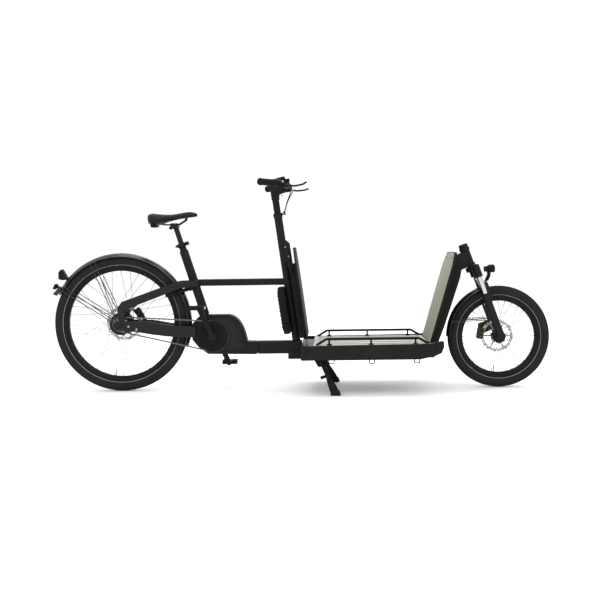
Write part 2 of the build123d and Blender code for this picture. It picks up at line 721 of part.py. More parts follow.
rear_guard_r = 362
rear_guard_half = 33
rear_guard_start = -20
rear_guard_sweep = 174
wire_r = 2.2
wire_reach = rear_guard_r - 16
with BuildPart() as rear_mudguard:
    add(guard(rear_axle_x, rear_tyre_r, rear_guard_r, rear_guard_half, 18, 2.5, rear_guard_start, rear_guard_sweep))
    with BuildSketch(side(4)):
        add(outline([(-333.1, 493.6), (-tail_reach - 1, 502), (-318, 545), (-308.2, 537.5)], 1.5))
    extrude(amount=8)
    for near in (-1, 1):
        for turn, foot, foot_z in ((112, -10, 362.8), (116, -15, 362.8), (146, -21, 361.8), (150, -28, 355)):
            top = Vector(ahead(wire_reach * cos(radians(turn))), near * (rear_guard_half + wire_r + 0.1),
                         rear_tyre_r + wire_reach * sin(radians(turn)))
            low = Vector(ahead(foot), near * (stay_inner + stay_t / 2), foot_z)
            add(tube(Plane(origin=low, z_dir=top - low), wire_r, (top - low).length))
save(rear_mudguard.part, "rear_mudguard")

with BuildPart() as rear_light:
    with BuildSketch(side(21)):
        add(outline([(-301, 632), (-318, 618), (-320, 580), (-300, 574), (-281.2, 575.7), (-274.6, 584)], 4))
    extrude(amount=42)
    with BuildSketch(side(24)):
        add(outline([(-336, 556), (-349, 531), (-343, 526), (-329, 551)], 2))
    extrude(amount=48)
    with BuildSketch(side(6)):
        add(outline([(-335, 547), (-342, 534), (-330, 531.8), (-321, 543.8)], 1.5))
    extrude(amount=12)
save(rear_light.part, "rear_light")

front_guard_r = 269
with BuildPart() as front_mudguard:
    add(guard(front_axle_x + 4, front_tyre_r + 4, front_guard_r, 34, 16, 2.5, 107, 73))
    for near in (-1, 1):
        for rise in (0, 9):
            low = Vector(front_axle_x - 30 - rise / 3, near * (leg_y - leg_r - wire_r - 0.1),
                         front_tyre_r + 88 + rise)
            top = Vector(front_axle_x - 240, near * 36.6, front_tyre_r + 76 + rise)
            add(tube(Plane(origin=low, z_dir=top - low), wire_r, (top - low).length))
save(front_mudguard.part, "front_mudguard")


def caliper(x, z, r, y, turn, foot):
    """Two-piston caliper round a disc at y, with its mounting foot; turn is where it sits."""
    a = radians(turn)
    place = Plane(origin=(x + (r + 4) * cos(a), y + 0.9, z + (r + 4) * sin(a)), x_dir=(cos(a), 0, sin(a)),
                  z_dir=(0, -1, 0))
    with BuildPart() as body:
        with BuildSketch(place.offset(-13)):
            RectangleRounded(34, 56, 8)
        extrude(amount=24)
        with BuildSketch(place.offset(-1.6)):
            with Locations((-10, 0)):
                Rectangle(40, 70)
        extrude(amount=3.2, mode=Mode.SUBTRACT)
        with BuildSketch(place.offset(-13)):
            with Locations((0, 16), (0, -16)):
                Circle(6)
        extrude(amount=-3)
        with BuildSketch(place.offset(-foot)):
            with Locations((4, -22)):
                RectangleRounded(20, 62, 6)
        extrude(amount=foot - 0.9 - free_gap)
    return body.part


save(caliper(rear_axle_x, rear_tyre_r, rear_rotor_r, 52, 32, stay_inner - 52.95), "rear_caliper")
save(caliper(front_axle_x, front_tyre_r, front_rotor_r, 41, 172, leg_y - 6.1 - 41.9), "front_caliper")

# ---- small frame pieces -------------------------------------------------------------------------
cam_r = 6.5
cam_y = -lug_half - cam_r - 0.5
cam_x, cam_z = on_lean(seat_x, bb_z, seat_lean, seat_top - collar_h - 1, lug_d)
lever_in = sleeve_r + 6.6
with BuildPart() as seat_lever:
    add(tube(Plane(origin=(cam_x, cam_y, cam_z), z_dir=lean_dir(seat_lean)), cam_r, collar_h - 2))
    with BuildSketch(lean_side(seat_x, bb_z, seat_lean, -lever_in)):
        with Locations((lug_d - 30, seat_top - 11)):
            SlotCenterToCenter(50, 12)
    extrude(amount=5)
save(seat_lever.part, "seat_lever")
print("seat lever pivot", round(cam_x / 1000, 5), cam_y / 1000, round(cam_z / 1000, 5))

bolt_r = 5.5
bolt_h = 4.5
with BuildPart() as bolt_head:
    Cylinder(bolt_r, bolt_h, align=(Align.CENTER, Align.CENTER, Align.MIN))
    fillet(bolt_head.faces().sort_by(Axis.Z)[-1].edges(), radius=1.2)
    with BuildSketch(Plane.XY.offset(bolt_h)):
        RegularPolygon(2.6, 6)
    extrude(amount=-2.6, mode=Mode.SUBTRACT)
batt_low = on_lean(column_x, beam_top, column_lean, 60, battery_back + 9)
batt_high = on_lean(column_x, beam_top, column_lean, 362, battery_back + 9)
with BuildPart() as frame_bolts:
    for near in (-1, 1):
        places = [(ahead(48), stay_outer + 0.02, 336), (ahead(89), stay_outer + 0.02, 321),
                  (batt_low[0], battery_half + 0.02, batt_low[1]), (batt_high[0], battery_half + 0.02, batt_high[1]),
                  (ahead(952), deck_w / 2 + 0.02, 212), (ahead(1585), deck_w / 2 + 0.02, 228)]
        for x, y, z in places:
            add(bolt_head.part.moved(Plane(origin=(x, near * y, z), z_dir=(0, near, 0)).location))
save(frame_bolts.part, "frame_bolts")

cheek_y = 182               # outer face of the stand bracket's cheeks
cheek_t = 8
stand_pin_r = 9
with BuildPart() as stand_bracket:
    with BuildSketch(side(cheek_y)):
        add(outline([(928, deck_bottom + 5.98), (928, deck_bottom - 8), (1060, deck_bottom - 8),
                     (1060, deck_bottom + 5.98)], 1))
    extrude(amount=2 * cheek_y)
    for y in (cheek_y, -cheek_y + cheek_t):
        with BuildSketch(side(y)):
            add(outline([(985, 172), (1006, 132), (1052, 130), (1060, 172)], 5))
        extrude(amount=cheek_t)
    with BuildSketch(side(cheek_y)):
        with Locations((stand_pivot_ahead, stand_pivot_z)):
            Circle(stand_pin_r + running_gap)
    extrude(amount=2 * cheek_y, mode=Mode.SUBTRACT)
save(stand_bracket.part, "stand_bracket")

# ---- kickstand ----------------------------------------------------------------------------------
leg_tube_r = 11
foot_ahead = 1092
with BuildPart() as stand_legs:
    add(tube(Plane(origin=(ahead(stand_pivot_ahead), -cheek_y - 30, stand_pivot_z), z_dir=(0, 1, 0)),
             stand_pin_r, 2 * cheek_y + 60))
    for near in (-1, 1):
        top = Vector(ahead(stand_pivot_ahead), near * (cheek_y + 20), stand_pivot_z)
        low = Vector(ahead(foot_ahead - 3), near * stand_foot_y, 14)
        add(tube(Plane(origin=top - (low - top).normalized() * 12, z_dir=low - top), leg_tube_r,
                 (low - top).length + 12))
        with BuildSketch(plan(0)):
            with Locations((foot_ahead, near * stand_foot_y)):
                RectangleRounded(48, 34, 12)
        extrude(amount=26, taper=8)
    tang = Vector(ahead(1052), -(cheek_y + 43), 92)
    add(tube(Plane(origin=tang, z_dir=(-0.9, -0.1, -0.25)), 8, 34))
save(stand_legs.part, "stand_legs")

# ---- fork ---------------------------------------------------------------------------------------
axis_x, axis_z = head_x, head_z
leg_ahead = 12              # stanchions in front of the steering axis
crown_top = head_low - 4    # along the steering axis
crown_h = 22
socket_low = -166
leg_high = -262             # top of the lower legs
leg_low = -478
with BuildPart() as fork_crown:
    add(tube(lean_end(axis_x, axis_z, head_lean, crown_top - crown_h), steerer_r, -crown_top + crown_h + 14))
    add(tube(lean_end(axis_x, axis_z, head_lean, -4 + free_gap), cup_r - 4, 17))
    add(tube(lean_end(axis_x, axis_z, head_lean, crown_top - crown_h), 30, crown_h))
    with BuildSketch(lean_end(axis_x, axis_z, head_lean, crown_top - crown_h)):
        with Locations((leg_ahead, 0)):
            RectangleRounded(38, 2 * leg_y + 36, 17)
    extrude(amount=crown_h)
    for near in (-1, 1):
        with BuildSketch(lean_end(axis_x, axis_z, head_lean, socket_low)):
            with Locations((leg_ahead, near * leg_y)):
                Circle(21)
        extrude(amount=crown_top - socket_low + 5)
        with BuildSketch(lean_end(axis_x, axis_z, head_lean, leg_high - 60)):
            with Locations((leg_ahead, near * leg_y)):
                Circle(stanchion_r)
        extrude(amount=socket_low - leg_high + 60)
save(fork_crown.part, "fork_crown")

with BuildPart() as fork_lowers:
    for near in (-1, 1):
        with BuildSketch(lean_end(axis_x, axis_z, head_lean, leg_low)):
            with Locations((leg_ahead, near * leg_y)):
                Circle(leg_r)
        extrude(amount=leg_high - leg_low)
        with BuildSketch(side(near * leg_y + 7)):
            with Locations((wheelbase, front_tyre_r)):
                Circle(17)
        extrude(amount=14)
    arch_out = outline([(-leg_y - 9, 0), (-leg_y - 9, 48), (-46, 100), (46, 100), (leg_y + 9, 48), (leg_y + 9, 0),
                        (leg_y - 11, 0), (leg_y - 11, 44), (36, 84), (-36, 84), (-leg_y + 11, 44),
                        (-leg_y + 11, 0)], 5)
    arch_x, arch_z = on_lean(axis_x, axis_z, head_lean, leg_high - 42, leg_ahead + leg_r - 6)
    with BuildSketch(Plane(origin=(arch_x, 0, arch_z), x_dir=(0, 1, 0),
                           z_dir=(cos(radians(head_lean - 2)), 0, sin(radians(head_lean - 2))))):
        add(arch_out)
    extrude(amount=17)
    for near in (-1, 1):
        with BuildSketch(lean_end(axis_x, axis_z, head_lean, leg_high - 80)):
            with Locations((leg_ahead, near * leg_y)):
                Circle(stanchion_r + running_gap)
        extrude(amount=100, mode=Mode.SUBTRACT)
    with BuildSketch(side(leg_y + 4)):
        add(outline([(1905, 345), (1925, 300), (1850, 262), (1832, 275), (1832, 318), (1850, 325)], 5))
    extrude(amount=10)
    add(tube(Plane(origin=(front_axle_x, -leg_y - 12, front_tyre_r), z_dir=(0, 1, 0)), axle_r, 2 * leg_y + 24))
save(fork_lowers.part, "fork_lowers")

with BuildPart() as headlight:
    with BuildSketch(Plane(origin=(ahead(1906), 0, 604), x_dir=(0, 1, 0), z_dir=(1, 0, 0.06))):
        RectangleRounded(44, 38, 12)
    extrude(amount=-30)
    with BuildSketch(Plane(origin=(ahead(1876), 0, 602.5), x_dir=(0, 1, 0), z_dir=(1, 0, 0.06))):
        RectangleRounded(32, 28, 10)
    extrude(amount=-20)
    with BuildSketch(side(8)):
        add(outline([(1869, 600), (1889, 600), (1887, 566), (1876, 543), (1855, 535.6), (1866, 560), (1872, 574)], 3))
    extrude(amount=16)
save(headlight.part, "headlight")

# ---- handlebar ----------------------------------------------------------------------------------
bar_r = 11.1
clamp_r = 15.9
clamp_ahead = 862
clamp_z = 1030
bar_end_ahead = 741
bar_z = 1042
grip_len = 126
grip_r = 16.5
grip_end_y = bar_half - 9
bend_ahead = 838
bend_y = 160


def grip_dir(near):
    """Unit vector along the grip, inwards from the bar's end."""
    return Vector(bend_ahead - bar_end_ahead, -near * (grip_end_y - bend_y), 0).normalized()


def grip_forward(near):
    inward = grip_dir(near)
    return Vector(abs(inward.Y), near * inward.X, 0)


def on_grip(near, t, f=0.0, up=0.0):
    """Point t along the grip from its end, f in front of it and up above it."""
    return Vector(ahead(bar_end_ahead), near * grip_end_y, bar_z) + grip_dir(near) * t + grip_forward(
        near) * f + Vector(0, 0, up)


collar_s = column_top + free_gap
with BuildPart() as stem:
    add(tube(lean_end(column_x, beam_top, column_lean, 452), post_r, 300))
    add(tube(lean_end(column_x, beam_top, column_lean, collar_s), column_r + 3, 12))
    with BuildSketch(lean_side(column_x, beam_top, column_lean, 13)):
        add(outline([(10, collar_s), (40, collar_s), (42, collar_s + 10), (36, collar_s + 12), (10, collar_s + 12)], 2))
    extrude(amount=26)
    with BuildSketch(lean_side(column_x, beam_top, column_lean, 19)):
        add(outline([(-19, 720), (19, 720), (23, 748), (62, 756), (62, 798), (24, 798), (-19, 780)], 6))
    extrude(amount=38)
    add(tube(Plane(origin=(ahead(clamp_ahead), -23, clamp_z), z_dir=(0, 1, 0)), clamp_r + 8, 46))
    add(tube(Plane(origin=(ahead(clamp_ahead), -30, clamp_z), z_dir=(0, 1, 0)), clamp_r + 0.02, 60),
        mode=Mode.SUBTRACT)
save(stem.part, "stem")

with BuildPart() as handlebar:
    with BuildLine() as bar_path:
        FilletPolyline(on_grip(-1, 3), (ahead(bend_ahead), -bend_y, bar_z), (ahead(clamp_ahead), -62, clamp_z),
                       (ahead(clamp_ahead), 62, clamp_z), (ahead(bend_ahead), bend_y, bar_z), on_grip(1, 3), radius=60)
    with BuildSketch(Plane(origin=bar_path.line @ 0, z_dir=bar_path.line % 0)):
        Circle(bar_r)
    sweep(path=bar_path.line)
    add(tube(Plane(origin=(ahead(clamp_ahead), -28, clamp_z), z_dir=(0, 1, 0)), clamp_r, 56))
save(handlebar.part, "handlebar")

with BuildPart() as grips:
    for near in (-1, 1):
        add(tube(Plane(origin=on_grip(near, 0), z_dir=grip_dir(near)), grip_r, grip_len))
        add(tube(Plane(origin=on_grip(near, 2.98), z_dir=grip_dir(near)), bar_r + 0.02, grip_len),
            mode=Mode.SUBTRACT)
save(grips.part, "grips")

pivot_t = 146
pivot_f = 36
pivot_up = -12
pin_r = 3
with BuildPart() as control_units:
    for near in (-1, 1):
        inward = grip_dir(near)
        for t, r, length in ((grip_len + 22, 18, 14), (grip_len + 2, 19, 17)):
            add(tube(Plane(origin=on_grip(near, t), z_dir=inward), r, length, bar_r + 0.02))
        with BuildSketch(Plane(origin=on_grip(near, grip_len - 2, 30, -12), x_dir=grip_forward(near), z_dir=inward)):
            RectangleRounded(18, 24, 6)
        extrude(amount=66)
        with BuildSketch(Plane(origin=on_grip(near, grip_len + 22, 20, -4), x_dir=grip_forward(near), z_dir=inward)):
            Rectangle(14, 16)
        extrude(amount=14)
        pivot = on_grip(near, pivot_t, pivot_f + 8, pivot_up)
        with BuildSketch(Plane(origin=on_grip(near, pivot_t, pivot_f + 3, pivot_up), x_dir=grip_forward(near),
                               z_dir=(0, 0, 1)).offset(-10)):
            RectangleRounded(26, 22, 8)
        extrude(amount=20)
        with BuildSketch(Plane(origin=pivot, x_dir=grip_forward(near), z_dir=(0, 0, 1)).offset(-5.6)):
            Circle(12)
            with Locations((20, 0)):
                Rectangle(30, 40)
        extrude(amount=11.2, mode=Mode.SUBTRACT)
        add(tube(Plane(origin=pivot - Vector(0, 0, 9.5), z_dir=(0, 0, 1)), pin_r, 19))
    with BuildSketch(Plane(origin=(ahead(824), 0, 1079), x_dir=(0, 1, 0), z_dir=(-0.25, 0, 1))):
        RectangleRounded(78, 50, 12)
    extrude(amount=-13)
    with BuildSketch(side(9)):
        add(outline([(838, 1068.7), (872, 1077.1), (874, clamp_z + 24.5), (846, clamp_z + 24.5)], 3))
    extrude(amount=18)
save(control_units.part, "control_units")

for name, near in (("brake_lever_right", -1), ("brake_lever_left", 1)):
    pivot = on_grip(near, pivot_t, pivot_f + 8, pivot_up)
    with BuildPart() as brake_lever:
        with BuildLine() as blade_path:
            FilletPolyline(pivot + Vector(6, near * 2, 0), (ahead(906), near * 216, pivot.Z - 6),
                           (ahead(946), near * 248, pivot.Z + 0), (ahead(962), near * 274, pivot.Z + 8), radius=30)
        with BuildSketch(Plane(origin=blade_path.line @ 0, z_dir=blade_path.line % 0)):
            Circle(4.8)
        sweep(path=blade_path.line)
        add(tube(Plane(origin=pivot - Vector(0, 0, 5.2), z_dir=(0, 0, 1)), 8, 10.4))
        add(tube(Plane(origin=pivot - Vector(0, 0, 8), z_dir=(0, 0, 1)), pin_r + running_gap, 16),
            mode=Mode.SUBTRACT)
    save(brake_lever.part, name)
    print(name, "pivot", [round(v / 1000, 5) for v in pivot])

# ---- saddle -------------------------------------------------------------------------------------
clamp_low = 834
with BuildPart() as seatpost:
    add(tube(lean_end(seat_x, bb_z, seat_lean, 250), seat_post_r, 350, 11.4))
    split(bisect_by=Plane.XY.offset(clamp_low - 0.02), keep=Keep.BOTTOM)
save(seatpost.part, "seatpost")

with BuildPart() as saddle_rails:
    for near in (-1, 1):
        with BuildLine(side(near * 22)) as rail_line:
            FilletPolyline((206.5, 857.7), (228, 850), (306, 850), (341, 872), (343.5, 885.6), radius=12)
        with BuildSketch(Plane(origin=rail_line.line @ 0, z_dir=rail_line.line % 0)):
            Circle(3.5)
        sweep(path=rail_line.line)
    with BuildSketch(side(29)):
        add(outline([(262, clamp_low), (304, clamp_low), (302, 857), (264, 857)], 5))
    extrude(amount=58)
    add(tube(Plane(origin=(ahead(263), -24, 833), z_dir=(0, 1, 0)), 8, 48))
save(saddle_rails.part, "saddle_rails")

with BuildPart() as saddle:
    with BuildSketch(side(90)):
        add(outline([(146, 897), (156, 907), (210, 899), (260, 896), (315, 906), (372, 913), (398, 909), (405, 897),
                     (396, 889), (346, 889), (300, 881), (205, 868), (205, 840), (182, 837), (152, 872)], 2.5))
    extrude(amount=180)
    with BuildSketch(plan(800)):
        add(outline([(146, -50), (168, -76), (214, -78), (268, -50), (320, -29), (392, -22), (405, -12), (405, 12),
                     (392, 22), (320, 29), (268, 50), (214, 78), (168, 76), (146, 50)], 6))
    extrude(amount=200, mode=Mode.INTERSECT)
save(saddle.part, "saddle")


# ---- hoses --------------------------------------------------------------------------------------
hose_r = 2.5


def hose(points, name):
    """Hose along straight runs joined by arcs as large as the runs allow."""
    radii = []
    for a, b, c in zip(points, points[1:], points[2:]):
        turn = radians((b - a).get_angle(c - b))
        radii.append(0.45 * min((b - a).length, (c - b).length) / tan(turn / 2))
    with BuildPart() as run:
        with BuildLine() as route:
            FilletPolyline(*points, radius=radii)
        with BuildSketch(Plane(origin=route.line @ 0, z_dir=route.line % 0)):
            Circle(hose_r)
        sweep(path=route.line)
    length = sum(edge.length for edge in route.edges())
    print(name, "radii", [round(r) for r in radii], "length", round(length),
          "volume ratio", round(run.part.volume / (pi * hose_r ** 2 * length), 4))
    save(run.part, name)


port_x, port_z = on_lean(column_x, beam_top, column_lean, collar_s + 13.4, 34)
for name, near in (("brake_hose_right", -1), ("brake_hose_left", 1)):
    out = on_grip(near, grip_len + 64.05, 30, -12)
    route = [out, out + grip_dir(near) * 24, Vector(ahead(884), near * 74, 1008), Vector(ahead(872), near * 38, 985),
             Vector(ahead(858), near * 16, 952), Vector(ahead(850), near * 9, 920), Vector(port_x, near * 7, port_z)]
    hose(route, name)

print(len(made), "nodes")
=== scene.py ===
import json
from math import acos, atan2, cos, degrees, hypot, pi, radians, sin

import bpy
from mathutils import Matrix, Vector

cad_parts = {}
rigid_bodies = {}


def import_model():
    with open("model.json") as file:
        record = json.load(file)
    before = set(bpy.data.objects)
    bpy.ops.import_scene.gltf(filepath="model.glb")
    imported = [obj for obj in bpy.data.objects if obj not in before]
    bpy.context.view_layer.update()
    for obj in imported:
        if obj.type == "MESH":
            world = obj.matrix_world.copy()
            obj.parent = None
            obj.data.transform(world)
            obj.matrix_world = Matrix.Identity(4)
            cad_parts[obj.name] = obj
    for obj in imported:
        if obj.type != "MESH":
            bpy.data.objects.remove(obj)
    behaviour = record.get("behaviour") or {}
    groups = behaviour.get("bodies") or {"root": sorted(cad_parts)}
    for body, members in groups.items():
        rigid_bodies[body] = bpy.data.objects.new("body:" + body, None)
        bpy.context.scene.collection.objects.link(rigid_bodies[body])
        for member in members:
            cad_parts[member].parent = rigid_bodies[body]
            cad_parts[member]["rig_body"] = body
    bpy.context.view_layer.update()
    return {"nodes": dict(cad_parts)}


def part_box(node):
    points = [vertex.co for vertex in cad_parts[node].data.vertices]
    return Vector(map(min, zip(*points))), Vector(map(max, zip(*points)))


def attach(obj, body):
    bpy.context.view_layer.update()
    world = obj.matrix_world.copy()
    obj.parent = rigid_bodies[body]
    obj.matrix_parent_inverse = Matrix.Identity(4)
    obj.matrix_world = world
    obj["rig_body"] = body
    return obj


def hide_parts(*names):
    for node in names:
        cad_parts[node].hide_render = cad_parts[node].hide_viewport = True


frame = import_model()
nodes = frame["nodes"]
print("frame loaded:", len(nodes), "nodes")

yAxis = Vector((0, 1, 0))
rearX = -0.914                      # outlines below give lengths ahead of the rear axle
rearRadius, frontRadius = 0.347, 0.258
rearAxle = Vector((rearX, 0, rearRadius))
frontAxle = Vector((1.011, 0, frontRadius))
crankAxle = Vector((-0.441, 0, 0.279))


# camera, light, floor
cameraSet = {"place": (0.1529, -5.2, 0.7194), "yaw": 0.0278, "pitch": 0.0516, "roll": -0.0146, "lens": 60.86}


def placeCamera(s):
    level = Vector((-sin(s["yaw"]), cos(s["yaw"]), 0))
    right = Vector((cos(s["yaw"]), sin(s["yaw"]), 0))
    up = Vector((0, 0, 1))
    look = level * cos(s["pitch"]) - up * sin(s["pitch"])
    top = up * cos(s["pitch"]) + level * sin(s["pitch"])
    side = right * cos(s["roll"]) + top * sin(s["roll"])
    head = top * cos(s["roll"]) - right * sin(s["roll"])
    data = bpy.data.cameras.new("studioCamera")
    data.lens, data.sensor_width, data.clip_end = s["lens"], 36, 100
    camera = bpy.data.objects.new("studioCamera", data)
    bpy.context.scene.collection.objects.link(camera)
    turn = Matrix((side, head, -look)).transposed().to_4x4()
    camera.matrix_world = Matrix.Translation(s["place"]) @ turn
    bpy.context.scene.camera = camera


placeCamera(cameraSet)
lightSet = {
    "skyStrength": 1.06,
    "lamps": [("keyLamp", (-1.5, -4.5, 4.5), 4.0, 90), ("fillLamp", (3.5, -3.0, 2.5), 3.0, 25),
              ("topLamp", (0.2, 0.5, 5.0), 4.5, 90), ("backLamp", (0.5, 4.5, 3.0), 4.0, 60)],
}
world = bpy.data.worlds.new("studioSky")
bpy.context.scene.world = world
world.use_nodes = True
world.node_tree.nodes["Background"].inputs["Color"].default_value = (1, 1, 1, 1)
world.node_tree.nodes["Background"].inputs["Strength"].default_value = lightSet["skyStrength"]
for lampName, place, size, power in lightSet["lamps"]:
    lamp = bpy.data.lights.new(lampName, "AREA")
    lamp.shape, lamp.size, lamp.energy = "DISK", size, power
    holder = bpy.data.objects.new(lampName, lamp)
    bpy.context.scene.collection.objects.link(holder)
    holder.location = place
    holder.rotation_mode = "QUATERNION"
    holder.rotation_quaternion = (Vector((0, 0, 0.4)) - Vector(place)).to_track_quat("-Z", "Y")
bpy.context.scene.view_settings.view_transform = "Standard"
print("camera and lights placed")


# finishes
def makeFinish(name, s):
    m = bpy.data.materials.new(name)
    m.use_nodes = True
    tree = m.node_tree
    add, link = tree.nodes.new, tree.links.new
    skin = tree.nodes["Principled BSDF"]
    skin.inputs["Metallic"].default_value = s.get("metal", 0.0)
    skin.inputs["Specular IOR Level"].default_value = s.get("gleam", 0.09)
    skin.inputs["Coat Weight"].default_value = s.get("coat", 0.0)
    skin.inputs["Coat Roughness"].default_value = s.get("coatRough", 0.1)
    skin.inputs["Transmission Weight"].default_value = s.get("clear", 0.0)
    skin.inputs["Sheen Weight"].default_value = s.get("sheen", 0.0)
    skin.inputs["Anisotropic"].default_value = s.get("brushed", 0.0)
    where = add("ShaderNodeTexCoord")
    stretch = add("ShaderNodeMapping")
    stretch.inputs["Scale"].default_value = s.get("stretch", (1, 1, 1))
    link(where.outputs["Object"], stretch.inputs["Vector"])
    cloud = add("ShaderNodeTexNoise")                 # slow change of tone over the piece
    cloud.inputs["Scale"].default_value = s.get("cloudScale", 9.0)
    cloud.inputs["Detail"].default_value = 5.0
    link(stretch.outputs["Vector"], cloud.inputs["Vector"])
    tone = add("ShaderNodeValToRGB")
    tone.color_ramp.elements[0].position, tone.color_ramp.elements[1].position = 0.3, 0.75
    tone.color_ramp.elements[0].color = (*s["colour"], 1)
    tone.color_ramp.elements[1].color = (*s.get("second", [c * 1.35 for c in s["colour"]]), 1)
    link(cloud.outputs["Fac"], tone.inputs["Fac"])
    base = tone.outputs["Color"]
    if s.get("wear"):                                 # paler, rubbed edges
        edge = add("ShaderNodeNewGeometry")
        rub = add("ShaderNodeValToRGB")
        rub.color_ramp.elements[0].position, rub.color_ramp.elements[1].position = 0.53, 0.62
        rub.color_ramp.elements[0].color = (0, 0, 0, 1)
        rub.color_ramp.elements[1].color = (s["wear"],) * 3 + (1,)
        link(edge.outputs["Pointiness"], rub.inputs["Fac"])
        worn = add("ShaderNodeMix")
        worn.data_type = "RGBA"
        worn.inputs[7].default_value = (*[min(1, c * 3 + 0.04) for c in s["colour"]], 1)
        link(rub.outputs["Color"], worn.inputs[0])
        link(base, worn.inputs[6])
        base = worn.outputs[2]
    link(base, skin.inputs["Base Color"])
    rough = add("ShaderNodeMapRange")
    rough.inputs["To Min"].default_value = s["rough"] - s.get("roughSpread", 0.05)
    rough.inputs["To Max"].default_value = s["rough"] + s.get("roughSpread", 0.05)
    link(cloud.outputs["Fac"], rough.inputs["Value"])
    link(rough.outputs["Result"], skin.inputs["Roughness"])
    kind = s.get("grain", "noise")
    patterns = {"noise": "ShaderNodeTexNoise", "pebble": "ShaderNodeTexVoronoi", "lines": "ShaderNodeTexWave"}
    grain = add(patterns[kind])
    grain.inputs["Scale"].default_value = s.get("grainScale", 900.0)
    link(stretch.outputs["Vector"], grain.inputs["Vector"])
    height = grain.outputs["Distance" if kind == "pebble" else "Fac"]
    bump = add("ShaderNodeBump")
    bump.inputs["Strength"].default_value = s.get("bump", 0.1)
    bump.inputs["Distance"].default_value = s.get("bumpDepth", 0.0004)
    link(height, bump.inputs["Height"])
    link(bump.outputs["Normal"], skin.inputs["Normal"])
    return m


finishes = {name: makeFinish(name, s) for name, s in {
    "blackPaint": {"colour": (0.0085, 0.0085, 0.0082), "rough": 0.45, "bump": 0.06, "grainScale": 1100,
                   "wear": 0.12},
    "blackPaintFine": {"colour": (0.007, 0.007, 0.007), "rough": 0.45, "bump": 0.04, "wear": 0.1, "coat": 0.03},
    "glossGuard": {"colour": (0.006, 0.006, 0.0065), "rough": 0.22, "bump": 0.02, "coat": 0.25,
                   "gleam": 0.5, "grainScale": 300},
    "castCover": {"colour": (0.0135, 0.0122, 0.0115), "rough": 0.5, "bump": 0.2, "grainScale": 1500,
                  "wear": 0.12},
    "mattePlastic": {"colour": (0.007, 0.007, 0.0073), "rough": 0.6, "bump": 0.25, "grain": "pebble",
                     "grainScale": 1400},
    "deckCoat": {"colour": (0.43, 0.42, 0.375), "second": (0.47, 0.46, 0.42), "rough": 0.62, "bump": 0.3,
                 "grain": "pebble", "grainScale": 700, "cloudScale": 5},
    "wallCoat": {"colour": (0.235, 0.23, 0.18), "second": (0.255, 0.248, 0.2), "rough": 0.6, "bump": 0.25,
                 "grain": "pebble", "grainScale": 700, "cloudScale": 4},
    "tyreRubber": {"colour": (0.0125, 0.0125, 0.012), "second": (0.018, 0.0175, 0.0165), "rough": 0.78,
                   "bump": 0.35, "grainScale": 1300, "bumpDepth": 0.0006},
    "softRubber": {"colour": (0.008, 0.008, 0.008), "rough": 0.75, "bump": 0.3, "grain": "pebble",
                   "grainScale": 900},
    "reflectBand": {"colour": (0.2, 0.2, 0.195), "second": (0.26, 0.26, 0.25), "rough": 0.35, "bump": 0.2,
                    "grain": "pebble", "grainScale": 1800},
    "rimBlack": {"colour": (0.0045, 0.0045, 0.0045), "rough": 0.4, "gleam": 0.12, "bump": 0.03,
                 "grain": "lines", "grainScale": 300},
    "spokeWire": {"colour": (0.08, 0.08, 0.078), "rough": 0.7, "metal": 0.2, "bump": 0.05},
    "brushedSteel": {"colour": (0.36, 0.35, 0.335), "rough": 0.38, "metal": 1.0, "brushed": 0.4, "bump": 0.12,
                     "grain": "lines", "grainScale": 700},
    "polishedTube": {"colour": (0.45, 0.45, 0.44), "rough": 0.16, "metal": 1.0, "bump": 0.03},
    "chainSteel": {"colour": (0.1, 0.095, 0.085), "rough": 0.38, "metal": 1.0, "bump": 0.15, "grainScale": 600},
    "darkAlloy": {"colour": (0.01, 0.01, 0.01), "rough": 0.4, "metal": 0.15, "bump": 0.08, "wear": 0.2},
    "bronzeAlloy": {"colour": (0.035, 0.027, 0.012), "rough": 0.45, "metal": 0.5, "bump": 0.1, "wear": 0.4},
    "saddleHide": {"colour": (0.006, 0.006, 0.006), "second": (0.0095, 0.0095, 0.0095), "rough": 0.5,
                   "gleam": 0.16, "bump": 0.5, "grain": "pebble", "grainScale": 650, "bumpDepth": 0.0005, "sheen": 0.04},
    "hoseSheath": {"colour": (0.006, 0.006, 0.006), "rough": 0.4, "bump": 0.05},
    "clearLens": {"colour": (0.85, 0.87, 0.88), "second": (0.9, 0.9, 0.9), "rough": 0.08, "roughSpread": 0.02,
                  "clear": 0.85, "bump": 0.1, "grain": "lines", "grainScale": 160},
    "redLens": {"colour": (0.2, 0.006, 0.005), "second": (0.28, 0.01, 0.008), "rough": 0.15, "coat": 0.8,
                "bump": 0.3, "grain": "lines", "grainScale": 110},
    "amberLens": {"colour": (0.5, 0.14, 0.01), "rough": 0.2, "coat": 0.6, "bump": 0.4, "grain": "pebble",
                  "grainScale": 500},
    "screenGlass": {"colour": (0.008, 0.009, 0.012), "rough": 0.06, "roughSpread": 0.02,
                    "coat": 1.0, "bump": 0.0},
    "threadPale": {"colour": (0.07, 0.07, 0.07), "rough": 0.7, "bump": 0.3, "grainScale": 2500},
    "studioFloor": {"colour": (0.965, 0.965, 0.965), "second": (0.97, 0.97, 0.97), "rough": 0.85, "bump": 0.0},
}.items()}
print("finishes made:", len(finishes))


# working tools
def clear():
    if bpy.context.object and bpy.context.object.mode != "OBJECT":
        bpy.ops.object.mode_set(mode="OBJECT")
    bpy.ops.object.select_all(action="DESELECT")


def pick(*objs):
    clear()
    for o in objs:
        o.select_set(True)
    bpy.context.view_layer.objects.active = objs[0]


def edit(obj, mode="FACE"):
    pick(obj)
    bpy.ops.object.mode_set(mode="EDIT")
    bpy.ops.mesh.select_mode(type=mode)


def doneEditing():
    bpy.ops.object.mode_set(mode="OBJECT")


def modify(obj, kind, **values):
    pick(obj)
    m = obj.modifiers.new(kind.lower(), kind)
    for key, value in values.items():
        setattr(m, key, value)
    bpy.ops.object.modifier_apply(modifier=m.name)


